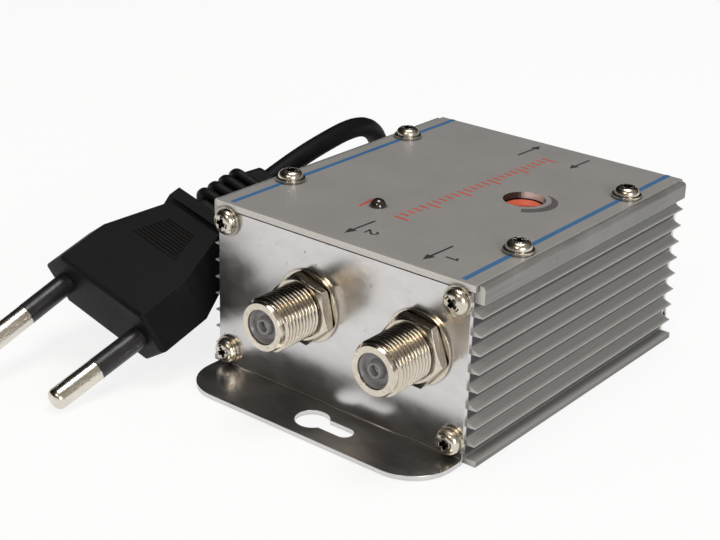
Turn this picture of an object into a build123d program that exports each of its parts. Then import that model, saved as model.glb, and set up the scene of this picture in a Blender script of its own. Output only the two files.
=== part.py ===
from build123d import *
import math
import os

# Small aerial signal amplifier in a finned aluminium box, with its mains cord and plug.
# Millimetres. The origin is at the middle of the box's underside, +Z is up, the two outputs face -Y.

os.makedirs("parts", exist_ok=True)


# Box: overall sizes and the clearances that every fit uses
box_length = 66.0
wall = 1.6
floor_thickness = 1.5
plate_thickness = 0.8
cover_underside_z = 30.2
cover_thickness = 1.2
cover_width = 54.4
cover_side_overlap = 0.6
seat_clearance = 0.05
slide_clearance = 0.2
overrun = 1.0

wall_plane_x = cover_width / 2 - cover_side_overlap
cover_top_z = cover_underside_z + cover_thickness
plate_outer_y = box_length / 2
plate_inner_y = plate_outer_y - plate_thickness
inner_wall_x = wall_plane_x - wall


# Screws: domed cross-recess heads with a washer flange
head_flange_radius = 2.6
head_flange_thickness = 0.6
head_dome_radius = 2.25
head_height = 2.0
head_flat_radius = 0.9
head_round_share = 0.75
recess_span = 2.8
recess_width = 0.8
recess_depth = 1.2
shank_radius = 1.45
shank_tip = 0.5
screw_hole_clearance = 0.15
plate_screw_length = 5.6
cover_screw_length = 3.0
screw_inset = 2.3
top_screw_z = 28.2
lower_screw_z = 3.7
front_cover_screw_y = -17.0
rear_cover_screw_y = 17.4
recess_turns = [12, 38, 65, 81]

screw_x = wall_plane_x - screw_inset


# Housing extrusion: fins, beads, screw grooves and board rails
fin_count = 8
top_fin_drop = 4.2
lowest_fin_z = 3.6
fin_reach = 1.7
fin_tip_thickness = 0.2
fin_root_below = 0.25
fin_root_above = 0.85
fin_face_sag = 0.12
foot_fin_reach = 2.1
foot_fin_height = 1.0
bead_gap = 0.1
bead_reach = 1.8
bead_depth = 2.0
bead_drop = 0.2
bead_round = 0.7
groove_boss_depth = 4.8
groove_boss_reach = 3.1
screw_slit_width = 0.9
ledge_reach = 1.6
ledge_rise = 0.25
rail_reach = 1.1
rail_thickness = 0.9

screw_groove_radius = shank_radius + seat_clearance
port_boss_radius = wall_plane_x - screw_x
top_fin_z = cover_underside_z - top_fin_drop
fin_pitch = (top_fin_z - lowest_fin_z) / (fin_count - 1)


# Circuit board
board_thickness = 1.6
board_bottom_z = lower_screw_z + port_boss_radius + ledge_rise
board_top_z = board_bottom_z + board_thickness
lead_radius = 0.35
lead_hole_clearance = 0.1
lead_below_board = 1.0
lead_bend = 1.0
lead_end_z = board_bottom_z - lead_below_board
board_holes = []


def outward(x, y, z, side):
    """A plane on an end face: its normal points out of the box along Y."""
    return Plane(origin=(x, y, z), x_dir=(1, 0, 0), z_dir=(0, side, 0))


def axial(base):
    """The plane through the normal of a base plane: local X is radial, local Y runs along the normal."""
    return Plane(origin=base.origin, x_dir=base.x_dir, z_dir=-base.y_dir)


def finish(part, name):
    """Labels a piece with its node name and writes it."""
    part.label = name
    export_step(part, f"parts/{name}.step")


def lead_hole(x, y, radius=lead_radius):
    """Notes a hole that the board needs for a lead."""
    board_holes.append((x, y, radius + lead_hole_clearance))


# Housing
def fin_points(tip_z):
    """Corners of one saw-tooth fin: lower root, lower tip, upper tip, upper root."""
    tip_x = wall_plane_x + fin_reach
    return [
        (inner_wall_x, tip_z - fin_root_below),
        (wall_plane_x, tip_z - fin_root_below),
        (tip_x, tip_z - fin_tip_thickness / 2),
        (tip_x, tip_z + fin_tip_thickness / 2),
        (wall_plane_x, tip_z + fin_root_above),
        (inner_wall_x, tip_z + fin_root_above),
    ]


with BuildPart() as housing:
    with BuildSketch(Plane.XZ):
        Rectangle(wall_plane_x, floor_thickness, align=(Align.MIN, Align.MIN))
        Rectangle(wall_plane_x + foot_fin_reach, foot_fin_height, align=(Align.MIN, Align.MIN))
        with Locations((inner_wall_x, 0)):
            Rectangle(wall, cover_underside_z, align=(Align.MIN, Align.MIN))
        for fin in range(fin_count):
            corners = fin_points(top_fin_z - fin * fin_pitch)
            upper_tip = corners[3]
            upper_root = corners[4]
            sag_point = (
                (upper_tip[0] + upper_root[0]) / 2,
                (upper_tip[1] + upper_root[1]) / 2 - fin_face_sag,
            )
            with BuildLine():
                ThreePointArc(upper_tip, sag_point, upper_root)
                Polyline(upper_root, corners[5], corners[0], corners[1], corners[2], upper_tip)
            make_face()
        bead_inner_x = cover_width / 2 + bead_gap
        bead_outer_x = wall_plane_x + bead_reach
        bead_top_z = cover_top_z - bead_drop
        bead_bottom_z = cover_underside_z - bead_depth
        with BuildLine():
            Polyline(
                (inner_wall_x, cover_underside_z),
                (bead_inner_x, cover_underside_z),
                (bead_inner_x, bead_top_z),
                (bead_outer_x - bead_round, bead_top_z),
            )
            RadiusArc(
                (bead_outer_x - bead_round, bead_top_z),
                (bead_outer_x, bead_top_z - bead_round),
                bead_round,
            )
            Polyline(
                (bead_outer_x, bead_top_z - bead_round),
                (bead_outer_x, bead_bottom_z),
                (inner_wall_x, bead_bottom_z),
                (inner_wall_x, cover_underside_z),
            )
        make_face()
        with Locations((inner_wall_x, cover_underside_z)):
            Rectangle(groove_boss_reach, groove_boss_depth, align=(Align.MAX, Align.MAX))
        with Locations((screw_x, lower_screw_z)):
            Circle(port_boss_radius)
        with Locations((inner_wall_x, board_bottom_z - seat_clearance)):
            Rectangle(
                ledge_reach,
                board_bottom_z - seat_clearance - lower_screw_z,
                align=(Align.MAX, Align.MAX),
            )
        with Locations((inner_wall_x, board_top_z + seat_clearance)):
            Rectangle(rail_reach, rail_thickness, align=(Align.MAX, Align.MIN))
        with Locations((screw_x, top_screw_z), (screw_x, lower_screw_z)):
            Circle(screw_groove_radius, mode=Mode.SUBTRACT)
        with Locations((screw_x, top_screw_z)):
            Rectangle(
                2 * screw_groove_radius,
                cover_underside_z - top_screw_z + overrun,
                align=(Align.CENTER, Align.MIN),
                mode=Mode.SUBTRACT,
            )
        with Locations((screw_x, lower_screw_z)):
            Rectangle(
                port_boss_radius + overrun,
                screw_slit_width,
                align=(Align.MAX, Align.CENTER),
                mode=Mode.SUBTRACT,
            )
        mirror(about=Plane.YZ)
    extrude(amount=plate_inner_y, both=True)
finish(housing.part, "housing")


# Top cover: painted sheet between the beads, with its holes
gain_x = 11.75
gain_y = 3.8
gain_hole_radius = 3.75
led_x = -4.9
led_y = -16.35
led_radius = 1.5
cover_edge_round = 0.25

cover_screw_places = [
    (side * screw_x, y) for y in (front_cover_screw_y, rear_cover_screw_y) for side in (-1, 1)
]

with BuildPart() as top_cover:
    with BuildSketch(Plane.XY.offset(cover_underside_z)):
        Rectangle(cover_width, box_length)
        with Locations(*cover_screw_places):
            Circle(shank_radius + screw_hole_clearance, mode=Mode.SUBTRACT)
        with Locations((gain_x, gain_y)):
            Circle(gain_hole_radius, mode=Mode.SUBTRACT)
        with Locations((led_x, led_y)):
            Circle(led_radius + seat_clearance, mode=Mode.SUBTRACT)
    extrude(amount=cover_thickness)
    fillet(top_cover.faces().sort_by(Axis.Z)[-1].outer_wire().edges(), cover_edge_round)
finish(top_cover.part, "top_cover")


# Screws
def make_screw(length):
    """A screw that stands on the XY plane: head above, shank below."""
    with BuildPart() as screw:
        with BuildSketch(Plane.XZ):
            with BuildLine():
                Polyline(
                    (0, head_height),
                    (0, -length),
                    (shank_radius - shank_tip, -length),
                    (shank_radius, -length + shank_tip),
                    (shank_radius, 0),
                    (head_flange_radius, 0),
                    (head_flange_radius, head_flange_thickness),
                    (head_dome_radius, head_flange_thickness),
                )
                ThreePointArc(
                    (head_dome_radius, head_flange_thickness),
                    (
                        head_flat_radius + (head_dome_radius - head_flat_radius) * head_round_share,
                        head_flange_thickness
                        + (head_height - head_flange_thickness) * head_round_share,
                    ),
                    (head_flat_radius, head_height),
                )
                Line((head_flat_radius, head_height), (0, head_height))
            make_face()
        revolve(axis=Axis.Z)
        with BuildSketch(Plane.XY.offset(head_height)):
            Rectangle(recess_span, recess_width)
            Rectangle(recess_width, recess_span)
        extrude(amount=-recess_depth, mode=Mode.SUBTRACT)
    return screw.part


cover_screw = make_screw(cover_thickness + cover_screw_length)
plate_screw = make_screw(plate_screw_length)

with BuildPart() as cover_screws:
    for (x, y), turn in zip(cover_screw_places, recess_turns):
        with Locations(Location((x, y, cover_top_z), (0, 0, turn))):
            add(cover_screw)
finish(cover_screws.part, "cover_screws")


def make_plate_screws(side):
    """The four screws of one end plate."""
    places = [(x_side * screw_x, z) for z in (top_screw_z, lower_screw_z) for x_side in (-1, 1)]
    with BuildPart() as screws:
        for (x, z), turn in zip(places, recess_turns):
            seat = outward(x, side * plate_outer_y, z, side)
            with Locations(seat.location * Location((0, 0, 0), (0, 0, turn * side))):
                add(plate_screw)
    return screws.part


finish(make_plate_screws(-1), "front_plate_screws")
finish(make_plate_screws(1), "rear_plate_screws")


# End plates with their mounting flanges
connector_z = 18.0
output_1_x = 17.2
output_2_x = -5.8
input_x = 12.0
thread_radius = 4.75
plate_hole_clearance = 0.1
cord_exit_x = -9.0
cord_exit_z = 12.6
cord_hole_radius = 4.0
rear_flange_half_width = 23.5
plate_top_gap = 0.15
flange_reach = 10.8
flange_corner_radius = 8.0
bend_inner_radius = 0.25
keyhole_out = 5.5
keyhole_radius = 3.0
keyhole_slot_radius = 1.6
keyhole_slot_x = 6.9

plate_half_width = wall_plane_x
connector_hole_radius = thread_radius + plate_hole_clearance


def make_end_plate(side, round_holes, flange_half_width):
    """One end plate, bent outward at its foot; round_holes lists x, z and radius."""
    shoulder = plate_half_width - flange_half_width
    flange_end_y = plate_outer_y + flange_reach
    plate_top_z = cover_underside_z - plate_top_gap
    with BuildPart() as plate:
        with BuildSketch(Plane.YZ) as plate_profile:
            with BuildLine():
                Polyline(
                    (side * plate_inner_y, plate_top_z),
                    (side * plate_inner_y, 0),
                    (side * flange_end_y, 0),
                    (side * flange_end_y, plate_thickness),
                    (side * plate_outer_y, plate_thickness),
                    (side * plate_outer_y, plate_top_z),
                    close=True,
                )
            make_face()
            outer_bend = plate_profile.vertices().sort_by_distance((side * plate_inner_y, 0))[0]
            fillet(outer_bend, bend_inner_radius + plate_thickness)
            inner_bend = plate_profile.vertices().sort_by_distance(
                (side * plate_outer_y, plate_thickness)
            )[0]
            fillet(inner_bend, bend_inner_radius)
        extrude(amount=plate_half_width, both=True)
        if shoulder > 0:
            with BuildSketch(Plane.XY):
                with Locations((0, side * (plate_outer_y + flange_reach / 2))):
                    with GridLocations(2 * plate_half_width - shoulder, 0, 2, 1):
                        Rectangle(shoulder, flange_reach)
            extrude(amount=plate_thickness + bend_inner_radius, mode=Mode.SUBTRACT)
        flange_corners = plate.edges().filter_by(Axis.Z).group_by(Axis.Y)[0 if side < 0 else -1]
        fillet(flange_corners, flange_corner_radius)
        with BuildSketch(Plane.XZ):
            for x, z, radius in round_holes:
                with Locations((x, z)):
                    Circle(radius)
            with Locations((0, (top_screw_z + lower_screw_z) / 2)):
                with GridLocations(2 * screw_x, top_screw_z - lower_screw_z, 2, 2):
                    Circle(shank_radius + screw_hole_clearance)
        extrude(amount=box_length, both=True, mode=Mode.SUBTRACT)
        keyhole_y = side * (plate_outer_y + keyhole_out)
        with BuildSketch(Plane.XY):
            with Locations((0, keyhole_y)):
                Circle(keyhole_radius)
                Rectangle(
                    keyhole_slot_x,
                    2 * keyhole_slot_radius,
                    align=(Align.MIN, Align.CENTER),
                )
            with Locations((keyhole_slot_x, keyhole_y)):
                Circle(keyhole_slot_radius)
        extrude(amount=plate_thickness, mode=Mode.SUBTRACT)
    return plate.part


front_holes = [
    (output_1_x, connector_z, connector_hole_radius),
    (output_2_x, connector_z, connector_hole_radius),
]
rear_holes = [
    (input_x, connector_z, connector_hole_radius),
    (cord_exit_x, cord_exit_z, cord_hole_radius),
]
finish(make_end_plate(-1, front_holes, plate_half_width), "front_end_plate")
finish(make_end_plate(1, rear_holes, rear_flange_half_width), "rear_end_plate")


# Coaxial connectors: threaded body through the plate, washer, nut, insulator and spring contact
connector_reach = 11.8
thread_pitch = 0.794
thread_depth = 0.45
thread_crest_share = 0.15
tip_radius = 4.1
tip_chamfer = 0.45
bore_radius = 3.05
inner_flange_radius = 6.0
inner_flange_thickness = 2.5
washer_radius = 6.4
washer_thickness = 0.6
nut_across_flats = 11.0
nut_thickness = 2.2
nut_chamfer = 0.45
insulator_recess = 0.4
insulator_rim = 0.1
insulator_dish_depth = 0.9
insulator_dish_slope = 0.45
insulator_collar_radius = 1.25
insulator_collar_rise = 0.1
contact_hole_radius = 0.95
contact_setback = 1.2
contact_bore_radius = 0.6
contact_bore_depth = 5.5
contact_tail_reach = 3.0

connector_back = -(plate_thickness + inner_flange_thickness)
insulator_front = connector_reach - insulator_recess
contact_front = insulator_front - contact_setback


def thread_points(start, end):
    """Outline of the thread's ridges between two stations: radius, station."""
    flank = thread_pitch * (1 - thread_crest_share) / 2
    crest = thread_pitch * thread_crest_share
    root_radius = thread_radius - thread_depth
    points = []
    for ridge in range(int((end - start) / thread_pitch)):
        base = start + ridge * thread_pitch
        points.append((root_radius, base))
        points.append((thread_radius, base + flank))
        points.append((thread_radius, base + flank + crest))
    points.append((root_radius, points[-1][1] + flank))
    return points


def make_connector_body(base):
    """Threaded body with its flange behind the plate."""
    thread_start = washer_thickness + nut_thickness + seat_clearance
    with BuildPart() as body:
        with BuildSketch(axial(base)):
            with BuildLine():
                Polyline(
                    (bore_radius, connector_back),
                    (inner_flange_radius, connector_back),
                    (inner_flange_radius, -plate_thickness),
                    (thread_radius, -plate_thickness),
                    (thread_radius, thread_start - seat_clearance),
                    *thread_points(thread_start, connector_reach - tip_chamfer),
                    (thread_radius - thread_depth, connector_reach - tip_chamfer),
                    (tip_radius, connector_reach),
                    (bore_radius, connector_reach),
                    close=True,
                )
            make_face()
        revolve(axis=Axis(base.origin, base.z_dir))
    return body.part


def make_insulator(base):
    """Dished insulator with a raised collar round the contact hole."""
    outer_radius = bore_radius - seat_clearance
    dish_outer = outer_radius - insulator_rim
    dish_floor = insulator_front - insulator_dish_depth
    collar_foot = insulator_collar_radius + insulator_dish_slope
    with BuildPart() as insulator:
        with BuildSketch(axial(base)):
            with BuildLine():
                Polyline(
                    (contact_hole_radius, connector_back),
                    (outer_radius, connector_back),
                    (outer_radius, insulator_front),
                    (dish_outer, insulator_front),
                    (dish_outer - insulator_dish_slope, dish_floor),
                    (collar_foot, dish_floor),
                    (insulator_collar_radius, insulator_front + insulator_collar_rise),
                    (contact_hole_radius, insulator_front + insulator_collar_rise),
                    close=True,
                )
            make_face()
        revolve(axis=Axis(base.origin, base.z_dir))
    return insulator.part


def make_contact(base, side):
    """Spring socket with its tail bent down through the board."""
    socket_radius = contact_hole_radius - seat_clearance
    tail_y = base.origin.Y + side * (connector_back - contact_tail_reach)
    tail_start = base.origin + base.z_dir * connector_back
    lead_hole(base.origin.X, tail_y)
    with BuildPart() as contact:
        with BuildSketch(axial(base)):
            with BuildLine():
                Polyline(
                    (contact_bore_radius, contact_front),
                    (socket_radius, contact_front),
                    (socket_radius, connector_back),
                    (0, connector_back),
                    (0, contact_front - contact_bore_depth),
                    (contact_bore_radius, contact_front - contact_bore_depth),
                    close=True,
                )
            make_face()
        revolve(axis=Axis(base.origin, base.z_dir))
        with BuildLine() as tail:
            FilletPolyline(
                tail_start,
                (base.origin.X, tail_y, base.origin.Z),
                (base.origin.X, tail_y, lead_end_z),
                radius=lead_bend,
            )
        with BuildSketch(Plane(origin=tail.line @ 0, z_dir=tail.line % 0)):
            Circle(lead_radius)
        sweep(path=tail.line)
    return contact.part


def make_washer(base):
    """Flat washer against the plate."""
    with BuildPart() as washer:
        with BuildSketch(base):
            Circle(washer_radius)
            Circle(thread_radius + seat_clearance, mode=Mode.SUBTRACT)
        extrude(amount=washer_thickness)
    return washer.part


def make_nut(base, turn):
    """Hexagon nut with chamfered corners on the washer."""
    corner_radius = nut_across_flats / math.sqrt(3)
    chamfer_radius = nut_across_flats / 2 - nut_chamfer / 2
    bottom = washer_thickness
    top = washer_thickness + nut_thickness
    with BuildPart() as nut:
        with BuildSketch(base.offset(bottom)):
            RegularPolygon(corner_radius, 6, rotation=turn)
            Circle(thread_radius + seat_clearance, mode=Mode.SUBTRACT)
        extrude(amount=nut_thickness)
        with BuildSketch(axial(base)):
            with BuildLine():
                Polyline(
                    (0, bottom),
                    (chamfer_radius, bottom),
                    (corner_radius, bottom + nut_chamfer),
                    (corner_radius, top - nut_chamfer),
                    (chamfer_radius, top),
                    (0, top),
                    close=True,
                )
            make_face()
        revolve(axis=Axis(base.origin, base.z_dir), mode=Mode.INTERSECT)
    return nut.part


def write_connector(name, x, side, nut_turn):
    """All five pieces of one connector."""
    base = outward(x, side * plate_outer_y, connector_z, side)
    finish(make_connector_body(base), f"{name}_connector_body")
    finish(make_insulator(base), f"{name}_insulator")
    finish(make_contact(base, side), f"{name}_contact")
    finish(make_washer(base), f"{name}_washer")
    finish(make_nut(base, nut_turn), f"{name}_nut")


output_1_nut_turn = 52
output_2_nut_turn = 43
input_nut_turn = 15
write_connector("output_1", output_1_x, -1, output_1_nut_turn)
write_connector("output_2", output_2_x, -1, output_2_nut_turn)
write_connector("input", input_x, 1, input_nut_turn)


# Power indicator: 3 mm lamp held in the cover, on two long leads
led_dome_rise = 1.4
led_height = 5.3
led_flange_radius = 1.9
led_flange_thickness = 1.0
led_lead_half_spacing = 1.27

led_top_z = cover_top_z + led_dome_rise
led_bottom_z = led_top_z - led_height

with BuildPart() as power_led:
    with BuildSketch(Plane(origin=(led_x, led_y, led_bottom_z), x_dir=(1, 0, 0), z_dir=(0, -1, 0))):
        with BuildLine():
            Polyline(
                (0, led_height),
                (0, 0),
                (led_flange_radius, 0),
                (led_flange_radius, led_flange_thickness),
                (led_radius, led_flange_thickness),
                (led_radius, led_height - led_radius),
            )
            RadiusArc((led_radius, led_height - led_radius), (0, led_height), -led_radius)
        make_face()
    revolve(axis=Axis((led_x, led_y, led_bottom_z), (0, 0, 1)))
finish(power_led.part, "power_led")

with BuildPart() as led_leads:
    with BuildSketch(Plane.XY.offset(lead_end_z)):
        with Locations((led_x, led_y)):
            with GridLocations(2 * led_lead_half_spacing, 0, 2, 1):
                Circle(lead_radius)
    extrude(amount=led_bottom_z - lead_end_z)
for lead_side in (-1, 1):
    lead_hole(led_x + lead_side * led_lead_half_spacing, led_y)
finish(led_leads.part, "led_leads")


# Gain trimmer: body on the board, turning rotor up to the hole in the cover
trimmer_body_side = 9.0
trimmer_body_height = 6.0
trimmer_floor = 1.0
trimmer_running_clearance = 0.05
trimmer_pin_half_spacing = 2.5
rotor_shaft_radius = 2.4
rotor_head_radius = 3.4
rotor_head_thickness = 2.0
rotor_head_drop = 0.1
rotor_slot_length = 5.0
rotor_slot_width = 0.9
rotor_slot_depth = 0.9
rotor_slot_turn = 35

rotor_top_z = cover_underside_z - rotor_head_drop
rotor_bottom_z = board_top_z + trimmer_floor + trimmer_running_clearance
trimmer_pins = [
    (gain_x - trimmer_pin_half_spacing, gain_y - trimmer_pin_half_spacing),
    (gain_x + trimmer_pin_half_spacing, gain_y - trimmer_pin_half_spacing),
    (gain_x, gain_y + trimmer_pin_half_spacing),
]

with BuildPart() as gain_trimmer_body:
    with BuildSketch(Plane.XY.offset(board_top_z)):
        with Locations((gain_x, gain_y)):
            Rectangle(trimmer_body_side, trimmer_body_side)
    extrude(amount=trimmer_body_height)
    with BuildSketch(Plane.XY.offset(board_top_z + trimmer_floor)):
        with Locations((gain_x, gain_y)):
            Circle(rotor_shaft_radius + trimmer_running_clearance)
    extrude(amount=trimmer_body_height, mode=Mode.SUBTRACT)
    with BuildSketch(Plane.XY.offset(lead_end_z)):
        with Locations(*trimmer_pins):
            Circle(lead_radius)
    extrude(amount=board_top_z - lead_end_z)
for pin_x, pin_y in trimmer_pins:
    lead_hole(pin_x, pin_y)
finish(gain_trimmer_body.part, "gain_trimmer_body")

with BuildPart() as gain_rotor:
    with BuildSketch(Plane.XY.offset(rotor_bottom_z)):
        with Locations((gain_x, gain_y)):
            Circle(rotor_shaft_radius)
    extrude(amount=rotor_top_z - rotor_bottom_z)
    with BuildSketch(Plane.XY.offset(rotor_top_z)):
        with Locations((gain_x, gain_y)):
            Circle(rotor_head_radius)
    extrude(amount=-rotor_head_thickness)
    with BuildSketch(Plane.XY.offset(rotor_top_z)):
        with Locations(Location((gain_x, gain_y), rotor_slot_turn)):
            Rectangle(rotor_slot_length, rotor_slot_width)
    extrude(amount=-rotor_slot_depth, mode=Mode.SUBTRACT)
finish(gain_rotor.part, "gain_rotor")


# Insulating sheet on the floor under the board
sheet_thickness = 0.3
sheet_edge_gap = 2.0
sheet_half_width = screw_x - port_boss_radius - sheet_edge_gap

with BuildPart() as insulating_sheet:
    with BuildSketch(Plane.XY.offset(floor_thickness)):
        Rectangle(2 * sheet_half_width, 2 * (plate_inner_y - sheet_edge_gap))
    extrude(amount=sheet_thickness)
finish(insulating_sheet.part, "insulating_sheet")


# Mains transformer: laminated core, bobbin, winding and pins
transformer_x = -7.3
transformer_y = 9.5
core_gap = 0.8
core_width = 28.0
core_height = 21.0
core_stack = 10.0
core_limb = 4.0
core_centre_limb = 8.0
core_yoke = 4.0
bobbin_clearance = 0.1
bobbin_wall = 0.8
bobbin_flange_thickness = 0.9
bobbin_depth = 22.0
bobbin_rail_thickness = 2.5
bobbin_rail_half_length = 9.0
winding_margin = 0.6
transformer_pin_pitch = 5.0
transformer_pin_count = 4

core_bottom_z = board_top_z + core_gap
window_bottom_z = core_bottom_z + core_yoke
window_height = core_height - 2 * core_yoke
window_width = (core_width - core_centre_limb) / 2 - core_limb
bobbin_width = core_width - 2 * core_limb - 2 * bobbin_clearance
tube_inner_x = core_centre_limb + 2 * bobbin_clearance
tube_inner_y = core_stack + 2 * bobbin_clearance
tube_outer_x = tube_inner_x + 2 * bobbin_wall
tube_outer_y = tube_inner_y + 2 * bobbin_wall
bobbin_bottom_z = window_bottom_z + bobbin_clearance
bobbin_height = window_height - 2 * bobbin_clearance
pin_rail_y = (bobbin_depth - bobbin_rail_thickness) / 2

with BuildPart() as transformer_core:
    with BuildSketch(Plane.XZ.offset(-transformer_y - core_stack / 2)):
        with Locations((transformer_x, core_bottom_z)):
            Rectangle(core_width, core_height, align=(Align.CENTER, Align.MIN))
        with Locations((transformer_x, window_bottom_z + window_height / 2)):
            with GridLocations(core_centre_limb + window_width, 0, 2, 1):
                Rectangle(window_width, window_height, mode=Mode.SUBTRACT)
    extrude(amount=core_stack)
finish(transformer_core.part, "transformer_core")

with BuildPart() as transformer_bobbin:
    for flange_z in (bobbin_bottom_z, bobbin_bottom_z + bobbin_height - bobbin_flange_thickness):
        with BuildSketch(Plane.XY.offset(flange_z)):
            with Locations((transformer_x, transformer_y)):
                Rectangle(bobbin_width, bobbin_depth)
        extrude(amount=bobbin_flange_thickness)
    with BuildSketch(Plane.XY.offset(bobbin_bottom_z)):
        with Locations((transformer_x, transformer_y)):
            Rectangle(tube_outer_x, tube_outer_y)
    extrude(amount=bobbin_height)
    with BuildSketch(Plane.XY.offset(bobbin_bottom_z)):
        with Locations((transformer_x, transformer_y)):
            Rectangle(tube_inner_x, tube_inner_y)
    extrude(amount=bobbin_height, mode=Mode.SUBTRACT)
    with BuildSketch(Plane.XY.offset(board_top_z)):
        with Locations((transformer_x, transformer_y)):
            with GridLocations(0, 2 * pin_rail_y, 1, 2):
                Rectangle(2 * bobbin_rail_half_length, bobbin_rail_thickness)
    extrude(amount=bobbin_bottom_z + bobbin_flange_thickness - board_top_z)
finish(transformer_bobbin.part, "transformer_bobbin")

with BuildPart() as transformer_winding:
    winding_bottom_z = bobbin_bottom_z + bobbin_flange_thickness + seat_clearance
    winding_height = bobbin_height - 2 * bobbin_flange_thickness - 2 * seat_clearance
    with BuildSketch(Plane.XY.offset(winding_bottom_z)):
        with Locations((transformer_x, transformer_y)):
            Rectangle(bobbin_width - winding_margin, bobbin_depth - winding_margin)
            Rectangle(
                tube_outer_x + 2 * seat_clearance,
                tube_outer_y + 2 * seat_clearance,
                mode=Mode.SUBTRACT,
            )
    extrude(amount=winding_height)
finish(transformer_winding.part, "transformer_winding")

with BuildPart() as transformer_pins:
    with BuildSketch(Plane.XY.offset(lead_end_z)):
        with Locations((transformer_x, transformer_y)):
            with GridLocations(transformer_pin_pitch, 2 * pin_rail_y, transformer_pin_count, 2):
                Circle(lead_radius)
    extrude(amount=board_top_z - lead_end_z)
for pin in transformer_pins.part.solids():
    lead_hole(pin.center().X, pin.center().Y)
finish(transformer_pins.part, "transformer_pins")


# Smoothing capacitor
capacitor_x = -16.0
capacitor_y = -7.2
capacitor_radius = 5.0
capacitor_height = 16.0
capacitor_standoff = 0.3
capacitor_rim = 0.6
capacitor_lead_half_spacing = 2.5

with BuildPart() as smoothing_capacitor:
    with BuildSketch(Plane.XY.offset(board_top_z + capacitor_standoff)):
        with Locations((capacitor_x, capacitor_y)):
            Circle(capacitor_radius)
    extrude(amount=capacitor_height)
    fillet(smoothing_capacitor.edges().group_by(Axis.Z)[-1], capacitor_rim)
    with BuildSketch(Plane.XY.offset(lead_end_z)):
        with Locations((capacitor_x, capacitor_y)):
            with GridLocations(2 * capacitor_lead_half_spacing, 0, 2, 1):
                Circle(lead_radius)
    extrude(amount=board_top_z + capacitor_standoff - lead_end_z)
for lead_side in (-1, 1):
    lead_hole(capacitor_x + lead_side * capacitor_lead_half_spacing, capacitor_y)
finish(smoothing_capacitor.part, "smoothing_capacitor")


# Pieces with a body and two bent leads that lie along Y: diodes, resistors and splitter links
axial_height = 0.4


def add_axial(x, y, body_radius, body_length, half_span, height):
    """One wire bent down at both ends, with a round body on its middle if it has one."""
    for end in (-1, 1):
        lead_hole(x, y + end * half_span)
    with BuildPart() as piece:
        with BuildLine() as wire:
            FilletPolyline(
                (x, y - half_span, lead_end_z),
                (x, y - half_span, height),
                (x, y + half_span, height),
                (x, y + half_span, lead_end_z),
                radius=lead_bend,
            )
        with BuildSketch(Plane(origin=wire.line @ 0, z_dir=wire.line % 0)):
            Circle(lead_radius)
        sweep(path=wire.line)
        if body_radius:
            with BuildSketch(outward(x, y - body_length / 2, height, 1)):
                Circle(body_radius)
            extrude(amount=body_length)
    return piece.part


diode_radius = 1.35
diode_length = 5.2
diode_half_span = 4.2
diode_row = [(-8.6, -6.5), (-5.0, -6.5), (-1.4, -6.5), (2.2, -6.5)]
resistor_radius = 1.15
resistor_length = 6.0
resistor_half_span = 4.4
resistor_row = [(20.0, 3.0), (-18.0, -20.0), (3.0, -21.0), (14.5, -12.0)]

with BuildPart() as rectifier_diodes:
    for x, y in diode_row:
        diode_z = board_top_z + diode_radius + axial_height
        add(add_axial(x, y, diode_radius, diode_length, diode_half_span, diode_z))
finish(rectifier_diodes.part, "rectifier_diodes")

with BuildPart() as resistors:
    for x, y in resistor_row:
        resistor_z = board_top_z + resistor_radius + axial_height
        add(add_axial(x, y, resistor_radius, resistor_length, resistor_half_span, resistor_z))
finish(resistors.part, "resistors")


# Splitter: two-hole ferrite core between the outputs, with its wire links
splitter_x = 8.5
splitter_y = -22.5
splitter_width = 7.0
splitter_depth = 5.0
splitter_height = 4.0
splitter_hole_radius = 0.9
splitter_hole_half_spacing = 1.6
splitter_half_span = 4.0

splitter_mid_z = board_top_z + splitter_height / 2

with BuildPart() as splitter_core:
    with BuildSketch(Plane.XZ.offset(-splitter_y - splitter_depth / 2)):
        with Locations((splitter_x, splitter_mid_z)):
            Rectangle(splitter_width, splitter_height)
            with GridLocations(2 * splitter_hole_half_spacing, 0, 2, 1):
                Circle(splitter_hole_radius, mode=Mode.SUBTRACT)
    extrude(amount=splitter_depth)
finish(splitter_core.part, "splitter_core")

with BuildPart() as splitter_links:
    for link_side in (-1, 1):
        link_x = splitter_x + link_side * splitter_hole_half_spacing
        add(add_axial(link_x, splitter_y, 0, 0, splitter_half_span, splitter_mid_z))
finish(splitter_links.part, "splitter_links")


# Voltage regulator on three leads, and flat round transistors on the board
regulator_x = 7.6
regulator_y = -8.0
regulator_radius = 2.4
regulator_flat = 1.3
regulator_height = 4.6
regulator_standoff = 2.0
regulator_lead_pitch = 1.5
transistor_places = [(20.0, -6.5), (20.0, 14.0), (-3.5, -23.5)]
transistor_radius = 2.4
transistor_height = 1.8
transistor_lead_half_span = 3.8
transistor_lead_width = 0.8
transistor_lead_thickness = 0.3

with BuildPart() as voltage_regulator:
    with BuildSketch(Plane.XY.offset(board_top_z + regulator_standoff)):
        with Locations((regulator_x, regulator_y)):
            Circle(regulator_radius)
        with Locations((regulator_x, regulator_y + regulator_flat)):
            Rectangle(
                2 * regulator_radius,
                regulator_radius,
                align=(Align.CENTER, Align.MIN),
                mode=Mode.SUBTRACT,
            )
    extrude(amount=regulator_height)
    with BuildSketch(Plane.XY.offset(lead_end_z)):
        with Locations((regulator_x, regulator_y)):
            with GridLocations(regulator_lead_pitch, 0, 3, 1):
                Circle(lead_radius)
    extrude(amount=board_top_z + regulator_standoff - lead_end_z)
for lead_number in (-1, 0, 1):
    lead_hole(regulator_x + lead_number * regulator_lead_pitch, regulator_y)
finish(voltage_regulator.part, "voltage_regulator")

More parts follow.
